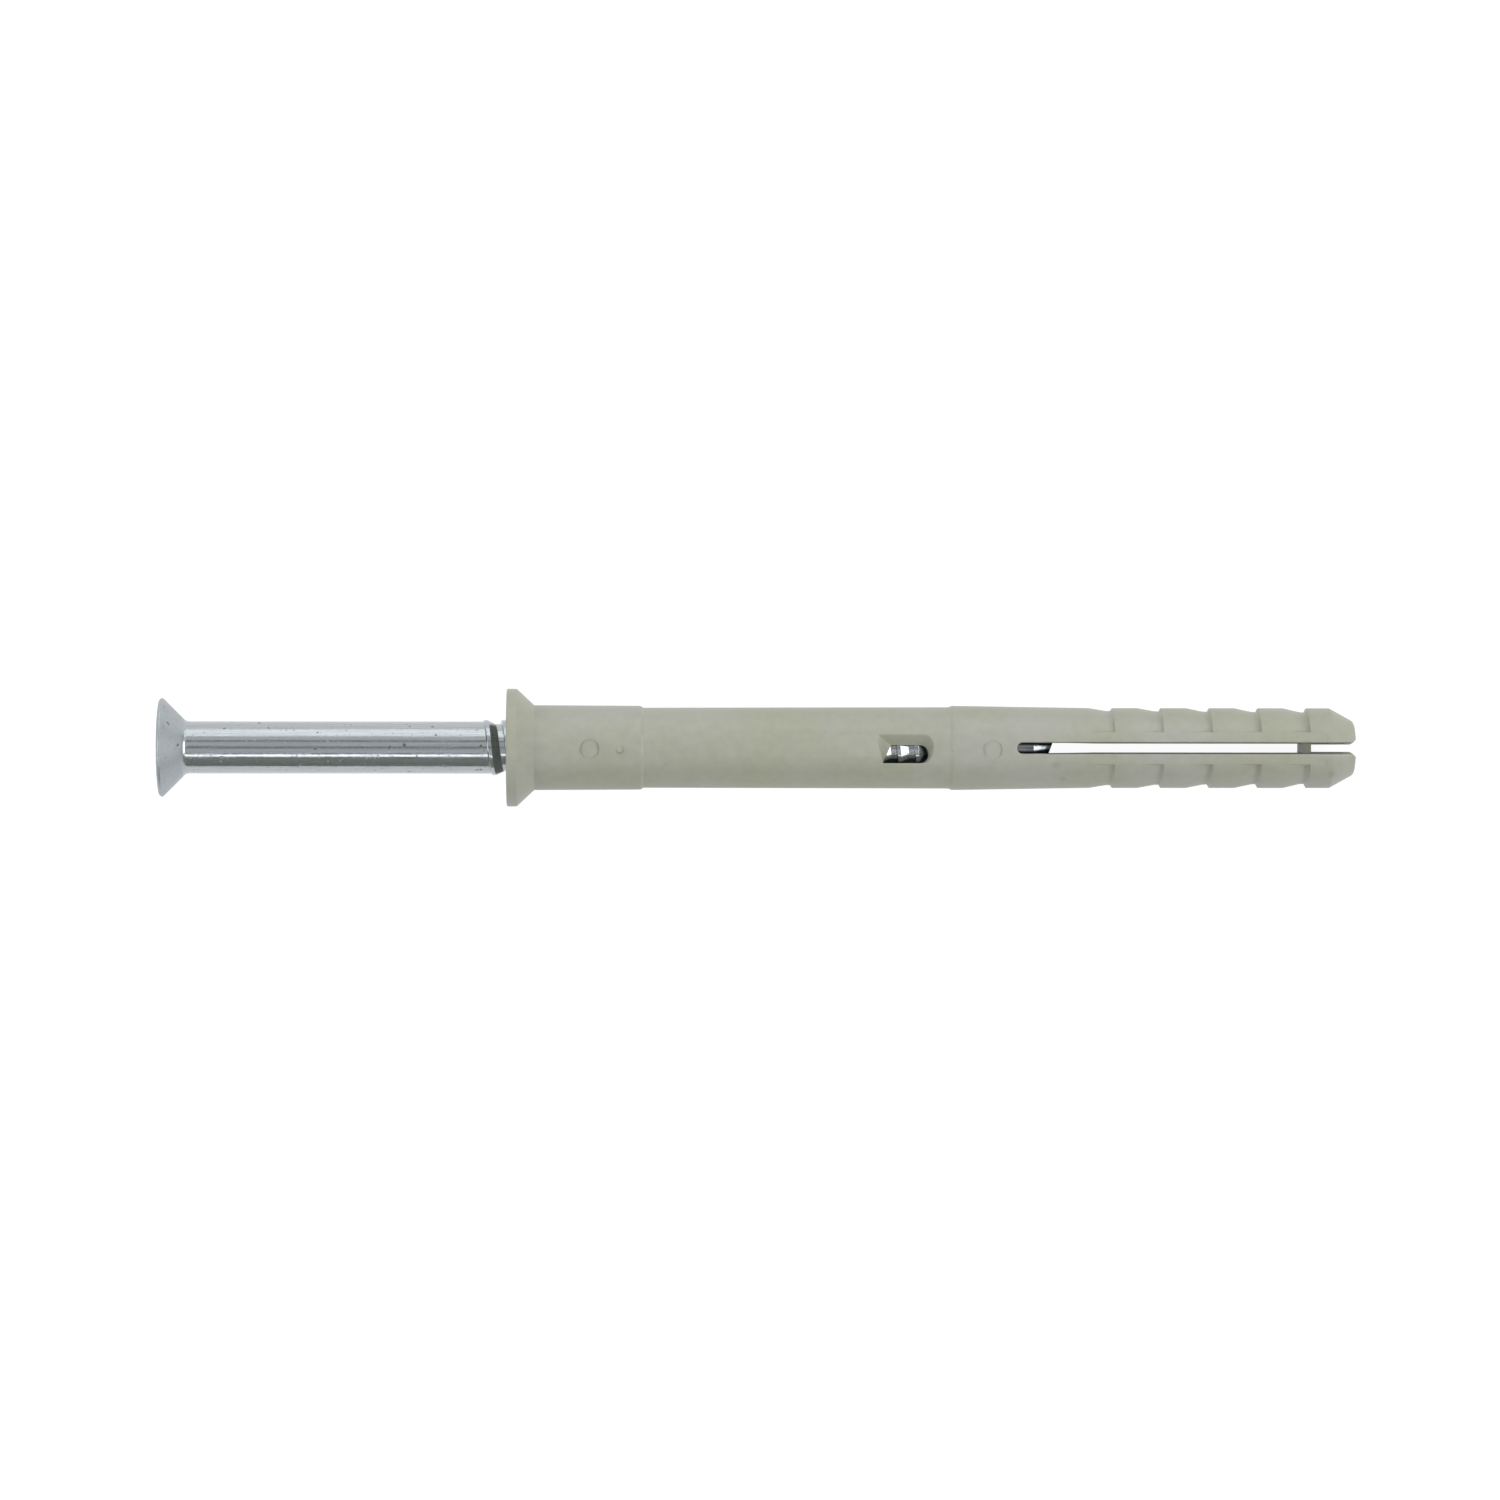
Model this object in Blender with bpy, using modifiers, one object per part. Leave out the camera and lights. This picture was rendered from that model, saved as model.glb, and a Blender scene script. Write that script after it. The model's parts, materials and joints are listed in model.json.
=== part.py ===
"""Hammer drive anchor: a zinc-plated drive nail set in a moulded nylon expansion sleeve.

The anchor is modelled standing, head up. The mouth of the sleeve is at z = 0, its mould
parts at x = 0, and its slot lies along y = 0. The last step lays it down on its side.
"""

import math

import bmesh
import bpy
from mathutils import Matrix, Vector

MM = 0.001

# Facets around the turned shapes, and along the arcs in the outlines
SLEEVE_FACETS = 32
NAIL_FACETS = 24
ARC_FACETS = 4
# What cutters reach past the surface that they cut
CUT_MARGIN = 1.0 * MM
MERGE_DISTANCE = 0.005 * MM
WELD_DISTANCE = 0.0005 * MM
SHARP_ANGLE = math.radians(25)

# Drive nail, lengths from the face of its head
NAIL_LENGTH = 84.4 * MM
HEAD_DIAMETER = 9.3 * MM
HEAD_RIM_HEIGHT = 0.35 * MM
HEAD_EDGE_ROUND = 0.15 * MM
HEAD_CONE_ANGLE = math.radians(90)
HEAD_FILLET = 0.75 * MM
SHANK_DIAMETER = 4.92 * MM
PLAIN_SHANK_LENGTH = 30.0 * MM
NAIL_POINT_LENGTH = 2.2 * MM
NAIL_POINT_DIAMETER = 2.6 * MM
# Slant of the end, where the wire was sheared off
NAIL_END_SLANT = math.radians(22)

# Rolled thread, right-hand, steep towards the head
THREAD_CREST_DIAMETER = 5.2 * MM
THREAD_ROOT_DIAMETER = 4.45 * MM
THREAD_PITCH = 1.67 * MM
THREAD_STEEP_FLANK = 0.08 * MM
THREAD_CREST_FLAT = 0.35 * MM
THREAD_ROOT_FLAT = 0.5 * MM
THREAD_START_ANGLE = math.pi
THREAD_END_TO_POINT = 0.8 * MM
# How far the thread's section is sunk in the core
THREAD_SINK = 0.06 * MM
# Run-out that fills the first groove under the shank, for a little less than a turn
RUN_OUT_TURNS = 0.875
RUN_OUT_STEP = 0.04 * MM

# Cross recess in the head
RECESS_SPAN = 5.3 * MM
RECESS_WING = 1.25 * MM
RECESS_FLOOR_SPAN = 2.2 * MM
RECESS_FLOOR_WING = 0.7 * MM
RECESS_DEPTH = 2.6 * MM

# Expansion sleeve, outside, from the mouth down
SLEEVE_LENGTH = 80.0 * MM
COLLAR_DIAMETER = 11.1 * MM
COLLAR_RIM_HEIGHT = 0.95 * MM
COLLAR_CONE_HEIGHT = 1.65 * MM
COLLAR_EDGE_ROUND = 0.15 * MM
NECK_DIAMETER = 8.0 * MM
NECK_END_DIAMETER = 7.9 * MM
NECK_LENGTH = 10.0 * MM
NECK_STEP_LENGTH = 0.4 * MM
WAIST_DIAMETER = 7.55 * MM
WAIST_END_DIAMETER = 7.68 * MM
WAIST_LENGTH = 28.75 * MM
SHOULDER_STEP_LENGTH = 0.35 * MM
SHOULDER_DIAMETER = 7.95 * MM
SHOULDER_LENGTH = 12.9 * MM
LEG_DIAMETER = 7.55 * MM
# Where the chamfer would meet the end, without the rounding between them
TIP_DIAMETER = 5.0 * MM
TIP_CHAMFER_LENGTH = 2.3 * MM
TIP_ROUND = 0.45 * MM

# Sawtooth ridges on the legs, counted up from the tip
TOOTH_COUNT = 5
TOOTH_PITCH = 4.6 * MM
# Depth of the first groove, and what each one nearer the tip adds
TOOTH_DEPTH = 0.27 * MM
TOOTH_DEPTH_GROWTH = 0.03 * MM
TOOTH_RAMP_LENGTH = 1.65 * MM
TOOTH_VALLEY_LENGTH = 0.4 * MM
TOOTH_STEP_LENGTH = 0.18 * MM
LAST_TOOTH_TO_TIP = 4.6 * MM
SMOOTH_STRIP_WIDTH = 3.0 * MM

# Slot between the legs, drafted both ways from the parting plane, and the web across it
SLOT_LENGTH = 32.1 * MM
SLOT_MOUTH_WIDTH = 1.08 * MM
SLOT_THROAT_WIDTH = 0.76 * MM
SLOT_END_CHAMFER = 0.3 * MM
WEB_TO_TIP = 4.2 * MM
WEB_THICKNESS = 0.85 * MM
WEB_DEPTH = 3.6 * MM
WEB_ROOT = 0.3 * MM

# Bore, with its countersink for the head of the nail
BORE_CLEARANCE = 0.15 * MM
COUNTERSINK_CLEARANCE = 0.2 * MM
BORE_PAST_NAIL = 0.8 * MM
BORE_TAPER_LENGTH = 3.0 * MM
PILOT_DIAMETER = 3.3 * MM

# Side windows through which the nail shows, one in each half of the mould
WINDOW_TO_MOUTH = 34.8 * MM
WINDOW_SLANT = 0.52 * MM
WINDOW_LENGTH = 5.15 * MM
WINDOW_NOSE = 0.8 * MM
WINDOW_ABOVE_AXIS = 1.3 * MM
WINDOW_BELOW_AXIS = 1.42 * MM
# How far the sloped walls reach in between the surface and the bore
WINDOW_SLOPE_REACH = 1.04 * MM
WINDOW_END_SLOPE_REACH = 1.3 * MM
WINDOW_NOSE_SLOPE_REACH = 0.33 * MM

# How far the face of the nail's head stands out of the mouth
NAIL_STAND_OUT = 32.65 * MM

NYLON_GREY = (0.42, 0.415, 0.375, 1.0)
ZINC_GREY = (0.62, 0.65, 0.68, 1.0)


def clear_scene():
    """Removes what the scene holds at the start."""
    for obj in list(bpy.data.objects):
        bpy.data.objects.remove(obj, do_unlink=True)


def new_collection(name):
    """A collection in the scene."""
    collection = bpy.data.collections.new(name)
    bpy.context.scene.collection.children.link(collection)
    return collection


def new_material(name, colour, roughness, metallic):
    """A Principled material of one colour."""
    material = bpy.data.materials.new(name)
    material.use_nodes = True
    material.diffuse_color = colour
    shader = material.node_tree.nodes["Principled BSDF"]
    shader.inputs["Base Color"].default_value = colour
    shader.inputs["Roughness"].default_value = roughness
    shader.inputs["Metallic"].default_value = metallic
    return material


def new_object(name, mesh, collection):
    """An object for a mesh, in a collection."""
    obj = bpy.data.objects.new(name, mesh)
    collection.objects.link(obj)
    return obj


def new_helper(name, mesh, helpers):
    """A cutter or a joined form: drawn as wire and left out of renders."""
    obj = new_object(name, mesh, helpers)
    obj.hide_render = True
    obj.display_type = "WIRE"
    return obj


def mesh_from(bm, name):
    """The mesh of a bmesh, with its faces turned outwards."""
    bmesh.ops.recalc_face_normals(bm, faces=bm.faces)
    mesh = bpy.data.meshes.new(name)
    bm.to_mesh(mesh)
    bm.free()
    return mesh


def closed_loop(bm, points):
    """Edges that join the points in a ring."""
    verts = [bm.verts.new(point) for point in points]
    return [bm.edges.new((verts[i - 1], verts[i])) for i in range(len(verts))]


def loft(bm, loops, ends=(0, -1)):
    """Walls between loops of as many corners each, closed at the ends that are named."""
    for first, second in zip(loops, loops[1:]):
        bmesh.ops.bridge_loops(bm, edges=first + second)
    for end in ends:
        bmesh.ops.contextual_create(bm, geom=loops[end])


def outline_mesh(name, outlines, closed):
    """Outlines of (radius, height) points as edges in the XZ plane."""
    points = []
    edges = []
    for outline in outlines:
        first = len(points)
        points += [(radius, 0.0, height) for radius, height in outline]
        edges += [(i, i + 1) for i in range(first, len(points) - 1)]
        if closed:
            edges.append((len(points) - 1, first))
    mesh = bpy.data.meshes.new(name)
    mesh.from_pydata(points, edges, [])
    return mesh


def turn(obj, facets):
    """Turns the object's outline about Z, with a flat at each side."""
    screw = obj.modifiers.new("Turn", "SCREW")
    screw.axis = "Z"
    screw.steps = facets
    screw.render_steps = facets
    screw.use_merge_vertices = True
    screw.merge_threshold = MERGE_DISTANCE
    obj.rotation_euler.z = math.pi / facets


def combine(obj, operation, other):
    """Adds an exact Boolean with the other object."""
    boolean = obj.modifiers.new(f"{operation.title()} {other.name}", "BOOLEAN")
    boolean.operation = operation
    boolean.solver = "EXACT"
    boolean.object = other


def bake(obj):
    """Makes what the modifiers give the object's own mesh, smooth apart from its sharp edges."""
    bpy.context.view_layer.update()
    graph = bpy.context.evaluated_depsgraph_get()
    bm = bmesh.new()
    bm.from_object(obj, graph)
    bm.transform(obj.matrix_world)
    bmesh.ops.remove_doubles(bm, verts=bm.verts, dist=WELD_DISTANCE)
    bmesh.ops.dissolve_degenerate(bm, edges=bm.edges, dist=WELD_DISTANCE)
    obj.modifiers.clear()
    obj.rotation_euler.z = 0.0
    obj.data = mesh_from(bm, obj.name)
    obj.data.shade_smooth()
    obj.data.set_sharp_from_angle(angle=SHARP_ANGLE)


def arc(centre, radius, start, end):
    """Points on an arc of an outline, from one angle to another."""
    return [
        (centre[0] + radius * math.cos(angle), centre[1] + radius * math.sin(angle))
        for angle in (start + (end - start) * i / ARC_FACETS for i in range(ARC_FACETS + 1))
    ]


def neck_end():
    """Depth at which the neck steps in to the waist."""
    return COLLAR_RIM_HEIGHT + COLLAR_CONE_HEIGHT + NECK_LENGTH


def shoulder_start():
    """Depth at which the waist has stepped out to the shoulder."""
    return neck_end() + NECK_STEP_LENGTH + WAIST_LENGTH + SHOULDER_STEP_LENGTH


def tip_arc():
    """Arc between the chamfer of the tip and its end, tangent to both."""
    slope = math.atan2((LEG_DIAMETER - TIP_DIAMETER) / 2, TIP_CHAMFER_LENGTH)
    inset = TIP_ROUND * (1 - math.sin(slope)) / math.cos(slope)
    centre = (TIP_DIAMETER / 2 - inset, -SLEEVE_LENGTH + TIP_ROUND)
    return arc(centre, TIP_ROUND, -slope, -math.pi / 2)


def sleeve_outline():
    """Outside of the sleeve, from the mouth down to the tip, closed on the axis."""
    collar = COLLAR_DIAMETER / 2
    collar_end = COLLAR_RIM_HEIGHT + COLLAR_CONE_HEIGHT
    edge_centre = (collar - COLLAR_EDGE_ROUND, -COLLAR_EDGE_ROUND)
    return [
        (0.0, 0.0),
        *arc(edge_centre, COLLAR_EDGE_ROUND, math.pi / 2, 0.0),
        (collar, -COLLAR_RIM_HEIGHT),
        (NECK_DIAMETER / 2, -collar_end),
        (NECK_END_DIAMETER / 2, -neck_end()),
        (WAIST_DIAMETER / 2, -neck_end() - NECK_STEP_LENGTH),
        (WAIST_END_DIAMETER / 2, -shoulder_start() + SHOULDER_STEP_LENGTH),
        (SHOULDER_DIAMETER / 2, -shoulder_start()),
        (LEG_DIAMETER / 2, -shoulder_start() - SHOULDER_LENGTH),
        (LEG_DIAMETER / 2, -SLEEVE_LENGTH + TIP_CHAMFER_LENGTH),
        *tip_arc(),
        (0.0, -SLEEVE_LENGTH),
    ]


def tooth_outline(step_depth, depth):
    """Section of the groove above one ridge: a ramp in, a short valley and a steep step out."""
    leg = LEG_DIAMETER / 2
    valley = leg - depth
    outside = leg + depth
    valley_end = step_depth - TOOTH_STEP_LENGTH
    valley_start = valley_end - TOOTH_VALLEY_LENGTH
    return [
        (outside, -valley_start + 2 * TOOTH_RAMP_LENGTH),
        (outside, -step_depth - TOOTH_STEP_LENGTH),
        (valley, -valley_end),
        (valley, -valley_start),
    ]


def tooth_cutter(helpers):
    """Rings that cut the sawtooth into both legs, broken at the strips beside the slot."""
    last_step = SLEEVE_LENGTH - LAST_TOOTH_TO_TIP
    last_depth = TOOTH_DEPTH + (TOOTH_COUNT - 1) * TOOTH_DEPTH_GROWTH
    outlines = [
        tooth_outline(last_step - i * TOOTH_PITCH, last_depth - i * TOOTH_DEPTH_GROWTH)
        for i in range(TOOTH_COUNT)
    ]
    rings = new_helper("tooth_rings", outline_mesh("tooth_rings", outlines, True), helpers)
    turn(rings, SLEEVE_FACETS)

    bm = bmesh.new()
    reach = COLLAR_DIAMETER
    keep_length = TOOTH_COUNT * TOOTH_PITCH + LAST_TOOTH_TO_TIP
    size = Matrix.Diagonal((reach, SMOOTH_STRIP_WIDTH, 2 * keep_length, 1.0))
    place = Matrix.Translation((0.0, 0.0, -last_step))
    bmesh.ops.create_cube(bm, size=1.0, matrix=place @ size)
    strips = new_helper("smooth_strips", mesh_from(bm, "smooth_strips"), helpers)
    combine(rings, "DIFFERENCE", strips)
    return rings


def bore_cutter(helpers):
    """Countersink, bore round the nail, and the narrower pilot that drives the legs apart."""
    bore = THREAD_CREST_DIAMETER / 2 + BORE_CLEARANCE
    mouth = HEAD_DIAMETER / 2 + COUNTERSINK_CLEARANCE
    slope = math.tan(HEAD_CONE_ANGLE / 2)
    bore_end = NAIL_LENGTH - NAIL_STAND_OUT + BORE_PAST_NAIL
    pilot_end = SLEEVE_LENGTH - WEB_TO_TIP - WEB_THICKNESS / 2
    outline = [
        (0.0, CUT_MARGIN),
        (mouth + CUT_MARGIN * slope, CUT_MARGIN),
        (bore, -(mouth - bore) / slope),
        (bore, -bore_end),
        (PILOT_DIAMETER / 2, -bore_end - BORE_TAPER_LENGTH),
        (PILOT_DIAMETER / 2, -pilot_end),
        (0.0, -pilot_end),
    ]
    cutter = new_helper("bore_cutter", outline_mesh("bore_cutter", [outline], False), helpers)
    turn(cutter, SLEEVE_FACETS)
    return cutter


def slot_loop(bm, x, width):
    """Outline of the slot at one distance from the parting plane, round at its closed end."""
    half = width / 2
    foot = -SLEEVE_LENGTH - CUT_MARGIN
    flare = half + SLOT_END_CHAMFER + CUT_MARGIN
    end = SLOT_LENGTH - SLEEVE_LENGTH - half
    chamfer_top = -SLEEVE_LENGTH + SLOT_END_CHAMFER
    near_quarter = arc((0.0, end), half, 0.0, math.pi / 2)
    far_quarter = arc((0.0, end), half, math.pi / 2, math.pi)
    round_end = near_quarter + far_quarter[1:]
    points = [(flare, foot), (half, chamfer_top), *round_end, (-half, chamfer_top), (-flare, foot)]
    return closed_loop(bm, [(x, y, z) for y, z in points])


def slot_cutter(helpers):
    """Slot that parts the legs: one drafted half, mirrored at the parting plane."""
    surface = LEG_DIAMETER / 2
    draft = (SLOT_MOUTH_WIDTH - SLOT_THROAT_WIDTH) / surface
    reach = surface + CUT_MARGIN
    bm = bmesh.new()
    throat = slot_loop(bm, 0.0, SLOT_THROAT_WIDTH)
    mouth = slot_loop(bm, reach, SLOT_THROAT_WIDTH + draft * reach)
    loft(bm, [throat, mouth], ends=(-1,))
    cutter = new_helper("slot_cutter", mesh_from(bm, "slot_cutter"), helpers)
    mirror = cutter.modifiers.new("Other half of the mould", "MIRROR")
    mirror.merge_threshold = MERGE_DISTANCE
    return cutter


def web(helpers):
    """Thin web that ends the pilot and holds the legs together until the nail is driven."""
    foot = -SLEEVE_LENGTH + WEB_TO_TIP
    size = Matrix.Diagonal((WEB_DEPTH, PILOT_DIAMETER + 2 * WEB_ROOT, WEB_THICKNESS, 1.0))
    place = Matrix.Translation((0.0, 0.0, foot + WEB_THICKNESS / 2))
    bm = bmesh.new()
    bmesh.ops.create_cube(bm, size=1.0, matrix=place @ size)
    return new_helper("leg_web", mesh_from(bm, "leg_web"), helpers)


def window_loop(bm, x, out):
    """D-shaped outline of the window; out is 0 at the surface and -1 at the bore."""
    above = WINDOW_ABOVE_AXIS + WINDOW_SLOPE_REACH * out
    below = -WINDOW_BELOW_AXIS
    start = -WINDOW_TO_MOUTH + WINDOW_END_SLOPE_REACH * out
    nose = -WINDOW_TO_MOUTH - WINDOW_LENGTH - WINDOW_NOSE_SLOPE_REACH * out
    straight_end = nose + WINDOW_NOSE
    middle = (above + below) / 2
    half = (above - below) / 2
    angles = [math.pi * i / (2 * ARC_FACETS) for i in range(2 * ARC_FACETS + 1)]
    nose_points = [
        (middle - half * math.cos(angle), straight_end - WINDOW_NOSE * math.sin(angle))
        for angle in angles
    ]
    points = [(above, start), (below, -WINDOW_TO_MOUTH - WINDOW_SLANT), *nose_points]
    return closed_loop(bm, [(x, y, z) for y, z in points])


def window_cutter(helpers):
    """Windows to the bore, with one long wall and both ends sloped, in both mould halves."""
    surface = math.sqrt((WAIST_END_DIAMETER / 2) ** 2 - WINDOW_ABOVE_AXIS**2)
    bore = THREAD_CREST_DIAMETER / 2 + BORE_CLEARANCE
    wall = surface - bore
    inside = bore - BORE_CLEARANCE - CUT_MARGIN
    bm = bmesh.new()
    depths = ((surface + CUT_MARGIN, CUT_MARGIN / wall), (bore, -1.0), (inside, -1.0))
    loft(bm, [window_loop(bm, x, out) for x, out in depths])
    cutter = new_helper("window_cutter", mesh_from(bm, "window_cutter"), helpers)
    mirror = cutter.modifiers.new("Other half of the mould", "MIRROR")
    mirror.merge_threshold = MERGE_DISTANCE
    return cutter


def expansion_sleeve(parts, helpers):
    """The nylon sleeve: one moulding with a collar, windows and two toothed legs."""
    outside = outline_mesh("expansion_sleeve", [sleeve_outline()], False)
    sleeve = new_object("expansion_sleeve", outside, parts)
    turn(sleeve, SLEEVE_FACETS)
    for cutter in (tooth_cutter, bore_cutter, window_cutter, slot_cutter):
        combine(sleeve, "DIFFERENCE", cutter(helpers))
    combine(sleeve, "UNION", web(helpers))
    bake(sleeve)
    sleeve.data.materials.append(new_material("moulded_nylon", NYLON_GREY, 0.45, 0.0))
    return sleeve


def nail_outline():
    """Head, shank, thread core and point of the nail, closed on the axis."""
    face = NAIL_STAND_OUT
    head = HEAD_DIAMETER / 2
    shank = SHANK_DIAMETER / 2
    core = THREAD_ROOT_DIAMETER / 2
    half_angle = HEAD_CONE_ANGLE / 2
    cone_end = face - HEAD_RIM_HEIGHT - (head - shank) / math.tan(half_angle)
    fillet_reach = HEAD_FILLET * math.tan(half_angle / 2)
    fillet_centre = (shank + HEAD_FILLET, cone_end - fillet_reach)
    edge_centre = (head - HEAD_EDGE_ROUND, face - HEAD_EDGE_ROUND)
    tip = face - NAIL_LENGTH
    return [
        (0.0, face),
        *arc(edge_centre, HEAD_EDGE_ROUND, math.pi / 2, 0.0),
        (head, face - HEAD_RIM_HEIGHT),
        *arc(fillet_centre, HEAD_FILLET, math.pi - half_angle, math.pi),
        (shank, face - PLAIN_SHANK_LENGTH),
        (core, face - PLAIN_SHANK_LENGTH),
        (core, tip + NAIL_POINT_LENGTH),
        (NAIL_POINT_DIAMETER / 2, tip),
        (0.0, tip),
    ]


def wound_band(name, section, turns, helpers):
    """A section of (radius, drop) points wound down a right-hand helix and closed at both ends."""
    steps = round(turns * NAIL_FACETS)
    bm = bmesh.new()
    top = NAIL_STAND_OUT - PLAIN_SHANK_LENGTH
    edges = closed_loop(bm, [(radius, 0.0, top - drop) for radius, drop in section])
    bmesh.ops.spin(
        bm,
        geom=list(bm.verts) + edges,
        cent=(0.0, 0.0, 0.0),
        axis=(0.0, 0.0, -1.0),
        dvec=(0.0, 0.0, -THREAD_PITCH / NAIL_FACETS),
        angle=2 * math.pi * steps / NAIL_FACETS,
        steps=steps,
        use_duplicate=False,
    )
    bmesh.ops.holes_fill(bm, edges=[edge for edge in bm.edges if edge.is_boundary], sides=len(section))
    return new_helper(name, mesh_from(bm, name), helpers)


def thread_ridge(helpers):
    """The thread's ridge, sunk a little in the core, from the shank to short of the point."""
    crest = THREAD_CREST_DIAMETER / 2
    root = THREAD_ROOT_DIAMETER / 2
    sunk = root - THREAD_SINK
    gentle = THREAD_PITCH - THREAD_STEEP_FLANK - THREAD_CREST_FLAT - THREAD_ROOT_FLAT
    crest_end = THREAD_STEEP_FLANK + THREAD_CREST_FLAT
    foot = crest_end + gentle * (crest - sunk) / (crest - root)
    length = NAIL_LENGTH - PLAIN_SHANK_LENGTH - NAIL_POINT_LENGTH - THREAD_END_TO_POINT
    section = [(sunk, 0.0), (crest, THREAD_STEEP_FLANK), (crest, crest_end), (sunk, foot)]
    ridge = wound_band("thread_ridge", section, length / THREAD_PITCH - 1.0, helpers)
    ridge.rotation_euler.z = THREAD_START_ANGLE + math.pi / NAIL_FACETS
    return ridge


def thread_run_out(helpers):
    """Band at shank width that fills in from the end of the shank to the first ridge."""
    shank = SHANK_DIAMETER / 2 - RUN_OUT_STEP
    sunk = THREAD_ROOT_DIAMETER / 2 - THREAD_SINK
    top = -THREAD_PITCH - THREAD_CREST_FLAT
    under_crest = THREAD_STEEP_FLANK + THREAD_CREST_FLAT / 2
    section = [(sunk, top), (shank, top), (shank, under_crest), (sunk, under_crest)]
    run_out = wound_band("thread_run_out", section, RUN_OUT_TURNS, helpers)
    run_out.rotation_euler.z = THREAD_START_ANGLE
    return run_out


def cross_loop(bm, span, wing, height):
    """A plus-shaped loop of twelve corners at one height."""
    arm = [Vector((x / 2, y / 2, height)) for x, y in ((span, -wing), (span, wing), (wing, wing))]
    points = []
    for quarter in range(4):
        turned = Matrix.Rotation(quarter * math.pi / 2, 3, "Z")
        points += [turned @ corner for corner in arm]
    return closed_loop(bm, points)


def recess_cutter(helpers):
    """Tapered cross recess in the head, which lets the nail be unscrewed again."""
    face = NAIL_STAND_OUT
    bm = bmesh.new()
    lid = cross_loop(bm, RECESS_SPAN, RECESS_WING, face + CUT_MARGIN)
    mouth = cross_loop(bm, RECESS_SPAN, RECESS_WING, face)
    floor = cross_loop(bm, RECESS_FLOOR_SPAN, RECESS_FLOOR_WING, face - RECESS_DEPTH)
    loft(bm, [lid, mouth, floor])
    return new_helper("recess_cutter", mesh_from(bm, "recess_cutter"), helpers)


def shear_cutter(helpers):
    """Block that shears the end of the nail off at a slant, longest on the +Y side."""
    block = NAIL_LENGTH / 2
    rise = NAIL_POINT_DIAMETER / 2 * math.tan(NAIL_END_SLANT)
    end = Matrix.Translation((0.0, 0.0, NAIL_STAND_OUT - NAIL_LENGTH + rise))
    slanted = Matrix.Rotation(-NAIL_END_SLANT, 4, "X")
    below = Matrix.Translation((0.0, 0.0, -block / 2))
    bm = bmesh.new()
    bmesh.ops.create_cube(bm, size=block, matrix=end @ slanted @ below)
    return new_helper("end_shear", mesh_from(bm, "end_shear"), helpers)


def drive_nail(parts, helpers):
    """The steel nail: countersunk head, plain shank and rolled drive thread."""
    turned_form = outline_mesh("drive_nail", [nail_outline()], False)
    nail = new_object("drive_nail", turned_form, parts)
    turn(nail, NAIL_FACETS)
    combine(nail, "UNION", thread_ridge(helpers))
    combine(nail, "UNION", thread_run_out(helpers))
    combine(nail, "DIFFERENCE", recess_cutter(helpers))
    combine(nail, "DIFFERENCE", shear_cutter(helpers))
    bake(nail)
    nail.data.materials.append(new_material("zinc_plated_steel", ZINC_GREY, 0.3, 1.0))
    return nail


def resting_tilt(sleeve):
    """Angle of the axis to the ground, with the sleeve on the rim of its collar and on its tip."""
    outline = [(-vert.co.z, -vert.co.x) for vert in sleeve.data.vertices]
    foot_drop = max(drop for _, drop in outline)
    foot_depth = max(depth for depth, drop in outline if foot_drop - drop < MERGE_DISTANCE)
    behind = [(depth, drop) for depth, drop in outline if depth > foot_depth + COLLAR_CONE_HEIGHT]
    slope = max((drop - foot_drop) / (depth - foot_depth) for depth, drop in behind)
    return -math.atan(slope)


def lay_down(sleeve, nail):
    """Lays the anchor on the ground, head end towards -X, and centres it over the origin."""
    frame = bpy.data.objects.new("anchor_frame", None)
    sleeve.users_collection[0].objects.link(frame)
    laid = Matrix.Rotation(resting_tilt(sleeve) - math.pi / 2, 4, "Y")
    points = [laid @ vert.co for obj in (sleeve, nail) for vert in obj.data.vertices]
    low = [min(point[i] for point in points) for i in range(3)]
    high = [max(point[i] for point in points) for i in range(3)]
    centre = Vector((-(low[0] + high[0]) / 2, -(low[1] + high[1]) / 2, -low[2]))
    frame.matrix_world = Matrix.Translation(centre) @ laid
    sleeve.parent = frame
    nail.parent = frame


def main():
    clear_scene()
    parts = new_collection("hammer_drive_anchor")
    helpers = new_collection("cutters")
    sleeve = expansion_sleeve(parts, helpers)
    nail = drive_nail(parts, helpers)
    lay_down(sleeve, nail)


main()
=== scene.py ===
# %% [markdown]
# A hammer drive anchor, dressed for its portrait
#
# The anchor has two pieces. A zinc-plated steel nail with a rolled thread stands partly out of a
# grey nylon sleeve, and a hammer drives it home. The CAD model has the same sizes, apart from a
# few small ones that were read again from the photograph. This lesson gives both pieces the fine
# surfaces that the eye expects: rounded edges, a smooth thread, moulding marks, zinc with its
# drawing lines and pits, and nylon with a soft shine.

# %% Load the CAD model as the frame
import json
import math

import bmesh
import bpy
from mathutils import Matrix, Vector


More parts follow.
